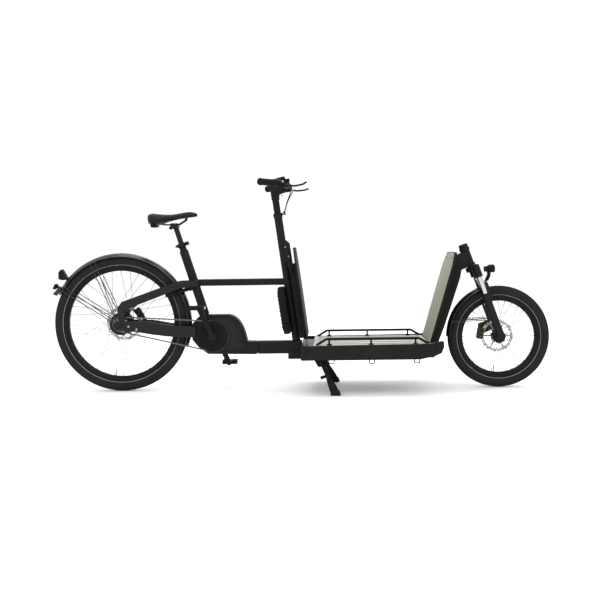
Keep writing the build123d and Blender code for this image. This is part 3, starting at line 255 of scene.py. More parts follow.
def roundEdges(obj, width, angle=35, segments=2):
    modify(obj, "BEVEL", width=width, segments=segments, limit_method="ANGLE", angle_limit=radians(angle),
           use_clamp_overlap=True, harden_normals=False)


def smooth(obj, angle=32):
    pick(obj)
    bpy.ops.object.shade_smooth_by_angle(angle=radians(angle))


def paint(obj, finish):
    obj.data.materials.clear()
    obj.data.materials.append(finishes[finish])


def fit(obj, body, finish=None, node=None, smoothAngle=32):
    if smoothAngle:
        smooth(obj, smoothAngle)
    if finish:
        paint(obj, finish)
    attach(obj, body)
    if node:
        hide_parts(*([node] if isinstance(node, str) else node))
    return obj


def joined(name, parts):
    pick(*parts)
    if len(parts) > 1:
        bpy.ops.object.join()
    obj = bpy.context.object
    obj.name = obj.data.name = name
    return obj


def turnedRing(name, profile, centre, axis=yAxis, steps=48, first=None):
    # closed profile of (along the axis, radius) pairs, spun right round
    axis = Vector(axis).normalized()
    first = Vector(first) if first else axis.orthogonal().normalized()
    clear()
    bpy.ops.mesh.primitive_circle_add(vertices=len(profile), radius=0.01)
    obj = bpy.context.object
    obj.name = name
    for v, (along, r) in zip(obj.data.vertices, profile):
        v.co = Vector(centre) + axis * along + first * r
    edit(obj, "VERT")
    bpy.ops.mesh.select_all(action="SELECT")
    bpy.ops.mesh.spin(steps=steps, angle=2 * pi, center=Vector(centre), axis=axis)
    bpy.ops.mesh.select_all(action="SELECT")
    bpy.ops.mesh.remove_doubles(threshold=0.000004)
    bpy.ops.mesh.normals_make_consistent(inside=False)
    doneEditing()
    return obj


def plate(name, points, thickness, soft=0.0):
    # flat outline drawn out along thickness, a vector
    clear()
    bpy.ops.mesh.primitive_circle_add(vertices=len(points), radius=0.01, fill_type="NGON")
    obj = bpy.context.object
    obj.name = name
    for v, p in zip(obj.data.vertices, points):
        v.co = p
    edit(obj)
    bpy.ops.mesh.select_all(action="SELECT")
    bpy.ops.mesh.extrude_region_move(TRANSFORM_OT_translate={"value": Vector(thickness)})
    bpy.ops.mesh.select_all(action="SELECT")
    bpy.ops.mesh.normals_make_consistent(inside=False)
    doneEditing()
    if soft:
        roundEdges(obj, soft)
    return obj


def block(name, size, centre, turn=(0, 0, 0), soft=0.001, segments=3):
    clear()
    bpy.ops.mesh.primitive_cube_add(size=1, location=centre, rotation=turn, scale=size)
    obj = bpy.context.object
    obj.name = name
    bpy.ops.object.transform_apply(location=True, rotation=True, scale=True)
    if soft:
        roundEdges(obj, soft, segments=segments)
    return obj


def copied(obj, matrix, name=None):
    twin = obj.copy()
    twin.data = obj.data.copy()
    twin.data.transform(matrix)
    if name:
        twin.name = name
    bpy.context.scene.collection.objects.link(twin)
    return twin


def about(point, axis, angle):
    turn = Matrix.Rotation(angle, 4, Vector(axis))
    return Matrix.Translation(point) @ turn @ Matrix.Translation(-Vector(point))


def softCopy(node, width, finish, angle=35, name=None):
    # the frame's own piece, merged, with its sharp edges rounded
    source = nodes[node]
    obj = bpy.data.objects.new(name or node + "Soft", source.data.copy())
    bpy.context.scene.collection.objects.link(obj)
    edit(obj, "VERT")
    bpy.ops.mesh.select_all(action="SELECT")
    bpy.ops.mesh.remove_doubles(threshold=0.00001)
    bpy.ops.mesh.dissolve_limited(angle_limit=radians(0.6))
    doneEditing()
    if width:
        roundEdges(obj, width, angle)
    fit(obj, source["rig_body"], finish, node)
    return obj


# brake hoses
hoseSet = {
    "radius": 0.0025,
    "length": 0.234,
    "route": [(-0.04504, 0.16731, 1.03), (-0.03207, 0.14712, 1.03), (-0.03, 0.074, 1.008), (-0.042, 0.038, 0.985),
              (-0.056, 0.016, 0.952), (-0.064, 0.009, 0.92), (-0.07102, 0.007, 0.90444)],
}
for sideName, side in (("right", -1), ("left", 1)):
    curve = bpy.data.curves.new("brakeHose_" + sideName, "CURVE")
    curve.dimensions = "3D"
    curve.bevel_depth, curve.bevel_resolution, curve.resolution_u = 1.0, 4, 12     # each point's radius counts
    curve.use_fill_caps = True
    line = curve.splines.new("NURBS")
    line.points.add(len(hoseSet["route"]) - 1)
    for point, (x, y, z) in zip(line.points, hoseSet["route"]):
        point.co = (x, y * side, z, 1)
        point.radius = hoseSet["radius"]
    line.order_u, line.use_endpoint_u = 3, True
    hose = bpy.data.objects.new("brakeHose_" + sideName, curve)
    bpy.context.scene.collection.objects.link(hose)
    fit(hose, "bars", None, "brake_hose_" + sideName, 0)
    curve.materials.append(finishes["hoseSheath"])
print("hoses laid")


# saddle
saddleSet = {
    # ahead x, half width, top z, lower edge z
    "stations": [(-0.768, 0.036, 0.8985, 0.866), (-0.762, 0.054, 0.9055, 0.853), (-0.750, 0.071, 0.9075, 0.846),
                 (-0.725, 0.0775, 0.9045, 0.847), (-0.700, 0.0765, 0.901, 0.8535), (-0.675, 0.067, 0.8985, 0.864),
                 (-0.648, 0.052, 0.898, 0.872), (-0.620, 0.0385, 0.901, 0.8785), (-0.590, 0.029, 0.9065, 0.883),
                 (-0.560, 0.0245, 0.911, 0.887), (-0.535, 0.022, 0.9125, 0.8895), (-0.518, 0.0185, 0.911, 0.8905),
                 (-0.5105, 0.011, 0.905, 0.892)],
    "around": 28, "voxel": 0.0045, "pressure": 4.0, "frames": 20, "cap": 0.0035, "stitchGap": 0.0042,
}


def saddleSection(x, half, top, low, n):
    points = []
    drop = top - low
    for i in range(n):
        t = 2 * pi * i / n
        y = half * (abs(sin(t)) ** 0.8) * (1 if sin(t) >= 0 else -1)
        crown = cos(t)
        if crown >= 0:
            z = top - drop * 0.42 * (1 - crown ** 0.7)
        else:
            z = top - drop * 0.42 - drop * 0.58 * abs(crown) ** 0.55
            y *= 1 - 0.22 * abs(crown)
        valley = 0.0035 * max(0.0, 1 - (abs(y) / (half * 0.3)) ** 2) if -0.76 < x < -0.6 and crown > 0 else 0
        points.append((x, y, z - valley))
    return points


def makeSaddle(s):
    n = s["around"]
    points = [p for station in s["stations"] for p in saddleSection(*station, n)]
    faces = [(a * n + i, a * n + (i + 1) % n, (a + 1) * n + (i + 1) % n, (a + 1) * n + i)
             for a in range(len(s["stations"]) - 1) for i in range(n)]
    faces.append(tuple(reversed(range(n))))
    faces.append(tuple(range((len(s["stations"]) - 1) * n, len(s["stations"]) * n)))
    mesh = bpy.data.meshes.new("saddlePad")
    mesh.from_pydata(points, [], faces)
    pad = bpy.data.objects.new("saddlePad", mesh)
    bpy.context.scene.collection.objects.link(pad)
    edit(pad)
    bpy.ops.mesh.select_all(action="SELECT")
    bpy.ops.mesh.normals_make_consistent(inside=False)
    doneEditing()
    modify(pad, "SUBSURF", levels=1, render_levels=1)
    modify(pad, "REMESH", mode="VOXEL", voxel_size=s["voxel"])
    rest = [v.co.copy() for v in pad.data.vertices]
    cloth = pad.modifiers.new("swell", "CLOTH")
    cloth.settings.use_pressure = True
    cloth.settings.uniform_pressure_force = s["pressure"]
    cloth.settings.effector_weights.gravity = 0
    cloth.settings.tension_stiffness = cloth.settings.compression_stiffness = 40
    for f in range(1, s["frames"] + 1):
        bpy.context.scene.frame_set(f)
    pick(pad)
    bpy.ops.object.modifier_apply(modifier="swell")
    bpy.context.scene.frame_set(1)
    for v, r in zip(pad.data.vertices, rest):
        move = v.co - r
        if move.length > s["cap"]:
            v.co = r + move.normalized() * s["cap"]
    modify(pad, "SMOOTH", factor=0.5, iterations=4)
    modify(pad, "SUBSURF", levels=1, render_levels=1)
    return pad


saddlePad = makeSaddle(saddleSet)
fit(saddlePad, "saddle_set", "saddleHide", "saddle")
seamPoints = []
for x, half, top, low in saddleSet["stations"][1:-1]:
    seamPoints.append((x, half * 0.97, top - (top - low) * 0.36))
stitches = []
for side in (-1, 1):
    for (x0, y0, z0), (x1, y1, z1) in zip(seamPoints, seamPoints[1:]):
        count = max(2, int(hypot(x1 - x0, y1 - y0) / 0.0065))
        for i in range(count):
            t = (i + 0.5) / count
            stitch = (x0 + (x1 - x0) * t, side * (y0 + (y1 - y0) * t + 0.0012), z0 + (z1 - z0) * t)
            stitches.append(block("stitch", (0.0042, 0.0011, 0.0011), stitch,
                                  (0, 0, atan2(side * (y1 - y0), x1 - x0)), 0.0003, 1))
seam = joined("saddleStitches", stitches)
fit(seam, "saddle_set", "threadPale")
bumperSet = {"size": (0.03, 0.1, 0.016), "place": (-0.7345, 0, 0.8455), "turn": (0, -0.12, 0)}
bumper = block("saddleBumper", bumperSet["size"], bumperSet["place"], bumperSet["turn"], 0.006)
fit(bumper, "saddle_set", "softRubber")
print("saddle made")


# tyres
def makeTyre(name, node, centre, r, body, s):
    mid = r - s["half"]
    profile = []
    turns = s["turns"]
    for i in range(turns + 1):
        a = radians(-s["bead"] + 2 * s["bead"] * i / turns)
        grow = -s["treadDepth"] if abs(degrees(a)) < s["treadTo"] else 0
        if 58 < abs(degrees(a)) < 66 or 96 < abs(degrees(a)) < 102:
            grow = -0.0009                                   # moulded sidewall lines
        profile.append(((s["half"] + grow) * sin(a), mid + (s["half"] + grow) * cos(a)))
    for i in range(13):
        a = radians(s["bead"] - 2 * s["bead"] * i / 12)
        profile.append(((s["half"] - s["wall"]) * sin(a), mid + (s["half"] - s["wall"]) * cos(a)))
    obj = turnedRing(name, profile, centre, steps=s["blocks"])
    edit(obj)
    bpy.ops.mesh.select_all(action="DESELECT")
    doneEditing()
    for face in obj.data.polygons:
        off = face.center - Vector(centre)
        away = hypot(off.x, off.z)
        if face.normal.dot(Vector((off.x, 0, off.z)).normalized()) > 0.6 and away > mid + 0.5 * s["half"]:
            slot = int(round((degrees(atan2(off.z, off.x)) % 360) * s["blocks"] / 360 - 0.5))
            row = int((off.y + s["half"]) / s["rowWidth"])
            face.select = abs(off.y) < s["treadHalf"] and (slot + row) % 2 == 0
    edit(obj)
    bpy.ops.mesh.inset(thickness=0.0006, depth=s["treadDepth"], use_individual=True)
    doneEditing()
    fit(obj, body, "tyreRubber", node, 28)
    bands = []
    for side in (-1, 1):
        band = [((s["half"] + 0.0003) * sin(radians(a)) * side, mid + (s["half"] + 0.0003) * cos(radians(a)))
                for a in (128, 130, 132, 134)]
        band += [((s["half"] - 0.0006) * sin(radians(a)) * side, mid + (s["half"] - 0.0006) * cos(radians(a)))
                 for a in (134, 128)]
        bands.append(turnedRing("band", band, centre, steps=96))
    fit(joined(name + "Band", bands), body, "reflectBand")
    return obj


tyreSet = {"half": 0.0275, "wall": 0.0035, "bead": 144, "turns": 36, "treadDepth": 0.0016, "treadTo": 46,
           "treadHalf": 0.0195, "rowWidth": 0.0044, "blocks": 220}
makeTyre("rearTyreTread", "rear_tyre", rearAxle, rearRadius, "rear_wheel", tyreSet)
makeTyre("frontTyreTread", "front_tyre", frontAxle, frontRadius, "front_wheel", {**tyreSet, "blocks": 164})
print("tyres made")


# rims, nipples, hubs
def dressWheel(name, centre, r, count, body):
    lip = r - 0.076
    nipple = turnedRing("nipple", [(0, 0), (0, 0.0022), (0.004, 0.0022), (0.011, 0.0014), (0.011, 0)],
                        Vector(centre) + Vector((lip + 0.0005, 0.0028, 0)), Vector((-1, 0, 0)), steps=8)
    parts = []
    for i in range(count):
        turn = -radians(i * 360 / count)
        lean = Matrix.Scale(-1, 4, yAxis) if i % 2 else Matrix.Identity(4)
        parts.append(copied(nipple, about(centre, yAxis, turn) @ lean))
    bpy.data.objects.remove(nipple)
    fit(joined(name + "Nipples", parts), body, "brushedSteel")
    stem = turnedRing(name + "Valve", [(0, 0), (0, 0.0042), (0.006, 0.0042), (0.007, 0.003), (0.03, 0.003),
                                       (0.031, 0.0022), (0.038, 0.0022), (0.038, 0)],
                      Vector(centre) + Vector((0, 0, -lip - 0.002)), Vector((0, 0, 1)), steps=14)
    turnBy = about(centre, yAxis, radians(8))
    stem.data.transform(turnBy)
    fit(stem, body, "brushedSteel")
    beads = []
    for side in (-1, 1):
        y = side * 0.0177
        beads.append(turnedRing("bead", [(y - 0.0008 * side, r - 0.0508), (y, r - 0.0508), (y, r - 0.0592),
                                         (y - 0.0008 * side, r - 0.0592)], centre, steps=96))
    fit(joined(name + "RimWalls", beads), body, "rimBlack")


dressWheel("rear", rearAxle, rearRadius, 36, "rear_wheel")
dressWheel("front", frontAxle, frontRadius, 32, "front_wheel")
for node in ("rear_rim", "front_rim", "rear_hub", "front_hub"):
    softCopy(node, 0, "rimBlack" if "rim" in node else "darkAlloy")
for node in ("rear_spokes", "front_spokes"):
    softCopy(node, 0, "spokeWire")
for node in ("rear_rotor", "front_rotor", "rear_sprocket"):
    softCopy(node, 0, "brushedSteel")
print("wheels dressed")


# chain
chainSet = {"pitch": 0.0127, "y": -0.05, "ringTeeth": 38, "cogTeeth": 18, "plate": 0.00065, "inner": 0.0012,
            "outer": 0.00195, "end": 0.0041, "waist": 0.0027, "roller": 0.0036, "pin": 0.0018}


def makeLink(s, gap):
    # one link along +X from its first pin, which is at the origin
    outline = []
    for cx, base in ((s["pitch"], -90), (0, 90)):
        for a in (0, 45, 90, 135, 180):
            outline.append((cx + s["end"] * cos(radians(base + a)), s["end"] * sin(radians(base + a))))
        outline.append((s["pitch"] / 2, s["waist"] if cx else -s["waist"]))
    parts = []
    for side in (-1, 1):
        y = side * gap
        parts.append(plate("linkPlate", [(x, y, z) for x, z in outline], (0, side * s["plate"], 0)))
    reach = gap + s["plate"]
    r = s["roller"] if gap == s["inner"] else s["pin"]
    long = s["inner"] if gap == s["inner"] else reach + 0.0002
    for x in (0, s["pitch"]):
        parts.append(turnedRing("linkPin", [(-long, 0), (-long, r), (long, r), (long, 0)], (x, 0, 0), steps=8))
    return joined("link", parts)


def chainPath(s):
    big = s["pitch"] / (2 * sin(pi / s["ringTeeth"]))
    small = s["pitch"] / (2 * sin(pi / s["cogTeeth"]))
    across = crankAxle - rearAxle
    span, tilt = hypot(across.x, across.z), atan2(across.z, across.x)
    wrap = pi - acos((big - small) / span)
    runs = []
    total = 0.0
    for kind, centre, r, a0, sweep in (("arc", crankAxle, big, tilt + wrap, -2 * wrap),
                                       ("line", None, 0, 0, 0),
                                       ("arc", rearAxle, small, tilt - wrap, -(2 * pi - 2 * wrap)),
                                       ("line", None, 0, 0, 0)):
        length = abs(sweep) * r if kind == "arc" else span * sin(pi - wrap)
        runs.append((kind, centre, r, a0, sweep, total, length))
        total += length

    def at(d):
        d %= total
        for i, (kind, centre, r, a0, sweep, begin, length) in enumerate(runs):
            if d <= begin + length:
                t = (d - begin) / length
                if kind == "arc":
                    a = a0 + sweep * t
                    return Vector((centre.x + r * cos(a), s["y"], centre.z + r * sin(a)))
                p0, p1 = at(begin - 1e-7), at(begin + length + 1e-7)
                return p0 + (p1 - p0) * t
        return at(0)
    return at, total


def makeChain(s):
    at, total = chainPath(s)
    count = 2 * round(total / s["pitch"] / 2)
    step = total / count
    kinds = [makeLink(s, s["inner"]), makeLink(s, s["outer"])]
    links = []
    for i in range(count):
        a, b = at(i * step), at((i + 1) * step)
        turn = atan2(b.z - a.z, b.x - a.x)
        links.append(copied(kinds[i % 2], Matrix.Translation(a) @ Matrix.Rotation(-turn, 4, yAxis)))
    for kind in kinds:
        bpy.data.objects.remove(kind)
    fit(joined("chainLinks", links), "frame", "chainSteel", "chain")


makeChain(chainSet)
print("chain made")


# bolts, used in many places
boltMould = turnedRing("boltMould", [(0, 0), (0, 0.001), (0, 0.0044), (0.0004, 0.0048), (0.0032, 0.0048),
                                     (0.0042, 0.0038), (0.0042, 0.0022), (0.0022, 0.002), (0.0022, 0)],
                       (0, 0, 0), (0, 0, 1), steps=18)


def bolts(name, places, direction, body, finish, size=1.0):
    out = []
    turn = Vector((0, 0, 1)).rotation_difference(Vector(direction)).to_matrix().to_4x4()
    for place in places:
        out.append(copied(boltMould, Matrix.Translation(place) @ turn @ Matrix.Scale(size, 4)))
    return fit(joined(name, out), body, finish)


# drive: cover rings, guard disc, cranks, pedals
guardSet = {"rings": (0.034, 0.044, 0.054, 0.064, 0.074), "y": -0.0571, "ridge": 0.0016, "rim": 0.0785,
            "ribs": 24, "ribAt": 0.049, "boltAt": 0.026, "bolts": 5}
profile = [(0, 0.021), (-0.0012, 0.021)]
for r in guardSet["rings"]:
    profile += [(-0.0012, r - 0.0022), (-0.0012 - guardSet["ridge"], r - 0.0014),
                (-0.0012 - guardSet["ridge"], r + 0.0014), (-0.0012, r + 0.0022)]
profile += [(-0.0012, guardSet["rim"] - 0.001), (-0.0004, guardSet["rim"]), (0, guardSet["rim"])]
disc = turnedRing("guardDisc", profile, (crankAxle.x, guardSet["y"], crankAxle.z), steps=72)
fit(disc, "crank", "mattePlastic")
ribs = []
for i in range(guardSet["ribs"]):
    spot = (crankAxle.x + guardSet["ribAt"], guardSet["y"] - 0.0018, crankAxle.z)
    rib = block("rib", (0.026, 0.0012, 0.0016), spot, soft=0.0004, segments=1)
    rib.data.transform(about(crankAxle, yAxis, radians(360 / guardSet["ribs"] * i)))
    ribs.append(rib)
fit(joined("guardRibs", ribs), "crank", "mattePlastic")
places = []
for i in range(guardSet["bolts"]):
    a = radians(360 / guardSet["bolts"] * i)
    places.append((crankAxle.x + guardSet["boltAt"] * cos(a), guardSet["y"] - 0.0012,
                   crankAxle.z + guardSet["boltAt"] * sin(a)))
bolts("guardBolts", places, (0, -1, 0), "crank", "darkAlloy", 0.7)
softCopy("crank_arms", 0.003, "blackPaintFine", 40)
softCopy("chainring", 0, "darkAlloy")
for sideName, side in (("right", -1), ("left", 1)):
    node = "pedal_" + sideName
    softCopy(node, 0.0012, "mattePlastic", 40)
    low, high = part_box(node)
    mid = (low + high) / 2
    pins = []
    for dx in (-0.0345, 0.0345):
        for dy in (-0.032, -0.011, 0.011, 0.032):
            for face in (-1, 1):
                pins.append(turnedRing("pin", [(0, 0), (0, 0.0018), (0.0022, 0.0014), (0.0022, 0)],
                                       (mid.x + dx, mid.y + dy, mid.z + face * 0.0089), (0, 0, face), steps=8))
    fit(joined("pedalPins_" + sideName, pins), sideName + "_pedal", "darkAlloy")
    lamps = [block("glow", (0.0012, 0.05, 0.011), (mid.x + dx, mid.y, mid.z), soft=0.0004)
             for dx in (-0.0395, 0.0395)]
    fit(joined("pedalReflectors_" + sideName, lamps), sideName + "_pedal", "amberLens")
softCopy("motor_unit", 0.0025, "castCover", 40)
motorSet = {
    "plate": [(0.462, 0.358), (0.548, 0.358), (0.583, 0.334), (0.606, 0.284), (0.615, 0.236), (0.590, 0.217),
              (0.560, 0.217)],
    "bolts": [(0.392, 0.33), (0.449, 0.366), (0.545, 0.366), (0.586, 0.341), (0.622, 0.25), (0.616, 0.21),
              (0.46, 0.21), (0.39, 0.268)],
    "half": 0.0401,
}
for sideName, side in (("Right", -1), ("Left", 1)):
    raised = plate("motorBadge", [(x + rearX, side * motorSet["half"], z) for x, z in motorSet["plate"]],
                   (0, side * 0.0016, 0), 0.0008)
    ring = turnedRing("motorRing", [(0, 0.066), (0.0045, 0.066), (0.0055, 0.068), (0.0055, 0.084), (0.003, 0.087),
                                    (0, 0.087)], (crankAxle.x, side * motorSet["half"], crankAxle.z),
                      (0, side, 0), steps=64)
    fit(joined("motorFace" + sideName, [raised, ring]), "frame", "castCover")
    places = [(x + rearX, side * (motorSet["half"] - 0.0002), z) for x, z in motorSet["bolts"]]
    bolts("motorBolts" + sideName, places, (0, side, 0), "frame", "darkAlloy", 0.9)
print("drive made")


# frame
hoodSet = {"start": (0.545, 0.3881), "rise": (0.6, 0.3881), "fall": (0.632, 0.332), "end": (0.6462, 0.25),
           "depth": 0.006, "half": 0.0404, "steps": 18}


def makeHood(s):
    # one smooth sweep over the motor, from its flat top down to the beam
    outer = []
    for i in range(s["steps"] + 1):
        t = i / s["steps"]
        weights = ((1 - t) ** 3, 3 * t * (1 - t) ** 2, 3 * t * t * (1 - t), t ** 3)
        corners = [s[key] for key in ("start", "rise", "fall", "end")]
        outer.append([sum(w * corner[k] for w, corner in zip(weights, corners)) for k in (0, 1)])
    inner = [(x - s["depth"], z - s["depth"]) for x, z in reversed(outer)]
    line = [(x + rearX, -s["half"], z) for x, z in outer + inner]
    return plate("motorHood", line, (0, 2 * s["half"], 0), 0.0025)


fit(makeHood(hoodSet), "frame", "blackPaint")
for node, width in (("seat_tube", 0.0006), ("top_tube", 0.002), ("upper_stays", 0.004), ("chainstays", 0.003),
                    ("motor_bracket", 0.001), ("main_beam", 0.0005), ("steering_column", 0.0008),
                    ("front_mast", 0.003), ("stand_bracket", 0.001)):
    softCopy(node, width, "blackPaint", 40)
softCopy("deck_crossmembers", 0, "blackPaint")
softCopy("stand_legs", 0.0015, "blackPaint", 40)
frameBolts = softCopy("frame_bolts", 0, "brushedSteel")
frameBolts.data.materials.append(finishes["darkAlloy"])
for face in frameBolts.data.polygons:
    if face.center.x > -0.2:                                 # only the stays' bolts are bare steel
        face.material_index = 1
softCopy("stem", 0.0015, "blackPaintFine", 40)
softCopy("handlebar", 0, "blackPaintFine")
softCopy("seatpost", 0, "darkAlloy")
softCopy("saddle_rails", 0.001, "darkAlloy", 45)
softCopy("seat_lever", 0.001, "darkAlloy", 45)
softCopy("rear_caliper", 0.0012, "darkAlloy", 45)
softCopy("front_caliper", 0.0012, "bronzeAlloy", 45)
for node in ("brake_lever_right", "brake_lever_left"):
    softCopy(node, 0.0006, "darkAlloy", 50)
softCopy("rear_mudguard", 0, "glossGuard")
softCopy("front_mudguard", 0, "glossGuard")
softCopy("battery_pack", 0.002, "mattePlastic", 45)
softCopy("controller_box", 0.002, "mattePlastic", 45)
softCopy("control_units", 0.0012, "mattePlastic", 45)
softCopy("rear_light", 0.0015, "mattePlastic", 45)
softCopy("headlight", 0.001, "mattePlastic", 45)
softCopy("lash_loops", 0, "softRubber", 45)
lowers = softCopy("fork_lowers", 0.001, "blackPaintFine", 45)
crown = softCopy("fork_crown", 0.0008, "blackPaintFine", 45)
crown.data.materials.append(finishes["polishedTube"])
headLean = radians(20)
steerDir = Vector((-0.34202, 0, 0.93969))
steerTop = Vector((0.838, 0, 0.715))
for face in crown.data.polygons:                             # bare stanchions below the painted crown
    along = (face.center - steerTop).dot(steerDir)
    if along < -0.1665:
        face.material_index = 1
print("frame finished")

# deck and walls
for node in ("deck_side_right", "deck_side_left"):
    softCopy(node, 0.0015, "blackPaint", 40)
softCopy("deck_panel", 0.001, "deckCoat", 45)
for node in ("cargo_rail_right", "cargo_rail_left"):
    softCopy(node, 0, "mattePlastic")
deckSet = {"stripLong": 0.53, "stripWide": 0.007, "strips": (-0.2, -0.1, 0.0, 0.1, 0.2), "stripRise": 0.0012,
           "boltInset": 0.03, "boltAside": 0.15, "railPosts": (1.064, 1.268, 1.484)}
low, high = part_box("deck_panel")
strips = []
for y in deckSet["strips"]:
    strips.append(block("strip", (deckSet["stripLong"], deckSet["stripWide"], deckSet["stripRise"]),
                        ((low.x + high.x) / 2, y, high.z + deckSet["stripRise"] / 2), soft=0.0005, segments=2))
fit(joined("deckGripStrips", strips), "frame", "softRubber")
places = [(x, deckSet["boltAside"] * side, high.z - 0.0003)
          for x in (low.x + deckSet["boltInset"], (low.x + high.x) / 2, high.x - deckSet["boltInset"])
          for side in (-1, 1)]
bolts("deckBolts", places, (0, 0, 1), "frame", "brushedSteel", 0.9)
railFeet = []
for node in ("cargo_rail_right", "cargo_rail_left"):
    a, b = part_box(node)
    for d in deckSet["railPosts"]:
        foot = turnedRing("foot", [(0.0041, 0.0049), (0.0041, 0.0122), (0.0052, 0.0118), (0.0085, 0.0068),
                                   (0.0085, 0.0049)], (d + rearX, (a.y + b.y) / 2, high.z), (0, 0, 1), steps=24)
        railFeet.append(foot)
fit(joined("railFeet", railFeet), "frame", "softRubber")
softCopy("front_wall", 0.0015, "wallCoat", 45)
softCopy("rear_wall", 0.0015, "mattePlastic", 45)

wallSet = {"foot": (0.644, 0, 0.248), "lean": 16.5, "thick": 0.012, "long": 0.46, "half": 0.21, "topHalf": 0.15,
           "corner": 0.396, "trim": 0.0022}
wallUp = Vector((sin(radians(wallSet["lean"])), 0, cos(radians(wallSet["lean"]))))
wallOut = Vector((cos(radians(wallSet["lean"])), 0, -sin(radians(wallSet["lean"]))))


def onWall(y, up, out=0.0):
    return Vector(wallSet["foot"]) + wallUp * up + wallOut * out + Vector((0, y, 0))


def wallTrim(s):
    # dark strip round the panel's edge, and stiffening ribs on its front
    edgeLine = [(-s["half"], 0.0), (-s["half"], s["corner"]), (-s["topHalf"], s["long"]),
                (s["topHalf"], s["long"]), (s["half"], s["corner"]), (s["half"], 0.0)]
    parts = []
    for (y0, u0), (y1, u1) in zip(edgeLine, edgeLine[1:]):
        a, b = onWall(y0, u0, s["thick"] / 2), onWall(y1, u1, s["thick"] / 2)
        along = (b - a).normalized()
        out = along.cross(wallOut).normalized()
        if out.dot(a - onWall(0, 0.2, s["thick"] / 2)) < 0:
            out = -out
        deep = wallOut * (s["thick"] / 2 + 0.0008)
        ends = (a + out * 0.0002 - along * 0.001, b + out * 0.0002 + along * 0.001)
        corners = [ends[0] - deep, ends[1] - deep, ends[1] + deep, ends[0] + deep]
        parts.append(plate("trim", corners, out * s["trim"], 0.0006))
    for y in (-0.14, 0.14):
        a, b = onWall(y - 0.009, 0.02, s["thick"] + 0.0002), onWall(y - 0.009, 0.36, s["thick"] + 0.0002)
        wide = Vector((0, 0.018, 0))
        parts.append(plate("rib", [a, b, b + wide, a + wide], wallOut * 0.006, 0.002))
    return joined("frontWallTrim", parts)


fit(wallTrim(wallSet), "frame", "mattePlastic")
bolts("frontWallBolts", [onWall(y, up, 0.0002) for y, up in ((-0.12, 0.432), (0.12, 0.432))],
      -wallOut, "frame", "darkAlloy", 0.8)
columnLean = radians(7.6)
columnUp = Vector((-sin(columnLean), 0, cos(columnLean)))
columnOut = Vector((cos(columnLean), 0, sin(columnLean)))
columnFoot = Vector((-0.018, 0, 0.25))


def onColumn(up, out, y=0.0):
    return columnFoot + columnUp * up + columnOut * out + Vector((0, y, 0))


batterySet = {"half": 0.095, "seams": (0.06, 0.345)}
bands = []
for up in batterySet["seams"]:
    for side in (-1, 1):
        a = onColumn(up, 0.03, side * (batterySet["half"] + 0.0001))
        bands.append(plate("seam", [a, a + columnOut * 0.022, a + columnOut * 0.022 + columnUp * 0.004,
                                    a + columnUp * 0.004], (0, side * 0.0012, 0), 0.0004))
grooves = []
for side in (-1, 1):
    for up in (0.1, 0.12, 0.14, 0.16, 0.18):
        a = onColumn(up, 0.031, side * (batterySet["half"] + 0.0001))
        grooves.append(plate("ridge", [a, a + columnOut * 0.018, a + columnOut * 0.018 + columnUp * 0.008,
                                       a + columnUp * 0.008], (0, side * 0.0014, 0), 0.0006))
fit(joined("batteryTrim", bands + grooves), "frame", "softRubber")
keyProfile = [(0, 0), (0, 0.009), (0.002, 0.009), (0.003, 0.008), (0.003, 0.004), (0.0015, 0.0035), (0.0015, 0)]
keyRing = turnedRing("batteryLock", keyProfile, onColumn(0.3, 0.042, -0.0951), (0, -1, 0), steps=28)
fit(keyRing, "frame", "darkAlloy")
fins = []
finSet = {"count": 9, "first": 0.075, "pitch": 0.02, "out": -0.0601, "half": 0.034, "tall": 0.006, "rise": 0.003}
for i in range(finSet["count"]):
    a = onColumn(finSet["first"] + i * finSet["pitch"], finSet["out"], 0)
    wide, tall = yAxis * finSet["half"], columnUp * finSet["tall"]
    fins.append(plate("fin", [a - wide, a + wide, a + wide + tall, a - wide + tall], -columnOut * finSet["rise"],
                      0.0008))
fit(joined("controllerFins", fins), "frame", "darkAlloy")
print("deck, walls and battery dressed")

# wheel lock under the stays
lockSet = {"rear": (0.232, 0.486), "front": (0.352, 0.522), "half": 0.041, "thick": 0.012, "deep": 0.02}   # ahead, up


def makeLock(s):
    a, b = Vector((s["rear"][0] + rearX, 0, s["rear"][1])), Vector((s["front"][0] + rearX, 0, s["front"][1]))
    along = (b - a).normalized()
    up = Vector((-along.z, 0, along.x))
    parts = []
    for side in (-1, 1):
        y = side * s["half"]
        arm = [a - up * s["deep"] / 3, b - up * s["deep"] / 2, b + up * s["deep"] / 2, a + up * s["deep"] / 3]
        points = [p + Vector((0, y, 0)) for p in arm]
        parts.append(plate("lockArm", points, (0, side * -s["thick"] / 2, 0), 0.003))
    bridge = [b - up * 0.013, b + along * 0.03 - up * 0.01, b + along * 0.034 + up * 0.008, b + up * 0.013]
    points = [p + Vector((0, -s["half"], 0)) for p in bridge]
    parts.append(plate("lockBody", points, (0, 2 * s["half"], 0), 0.004))
    plug = turnedRing("lockBarrel", [(0, 0), (0, 0.009), (0.009, 0.009), (0.0105, 0.0075), (0.0105, 0.002),
                                     (0.008, 0.0015), (0.008, 0)],
                      b + along * 0.016 + Vector((0, -s["half"], 0)), (0, -1, 0), steps=28)
    parts.append(plug)
    return joined("wheelLock", parts)


fit(makeLock(lockSet), "frame", "mattePlastic")


# bars: grips, display, clamps
gripSet = {"endX": -0.173, "endY": 0.311, "z": 1.042, "dir": (0.54048, 0.84137), "radius": 0.0165}


def gripAxis(side):
    return Vector((gripSet["dir"][0], -side * gripSet["dir"][1], 0))


def onGrip(side, along, ahead=0.0, up=0.0):
    inward = gripAxis(side)
    forward = Vector((abs(inward.y), side * inward.x, 0))
    end = Vector((gripSet["endX"], side * gripSet["endY"], gripSet["z"]))
    return end + inward * along + forward * ahead + Vector((0, 0, up))


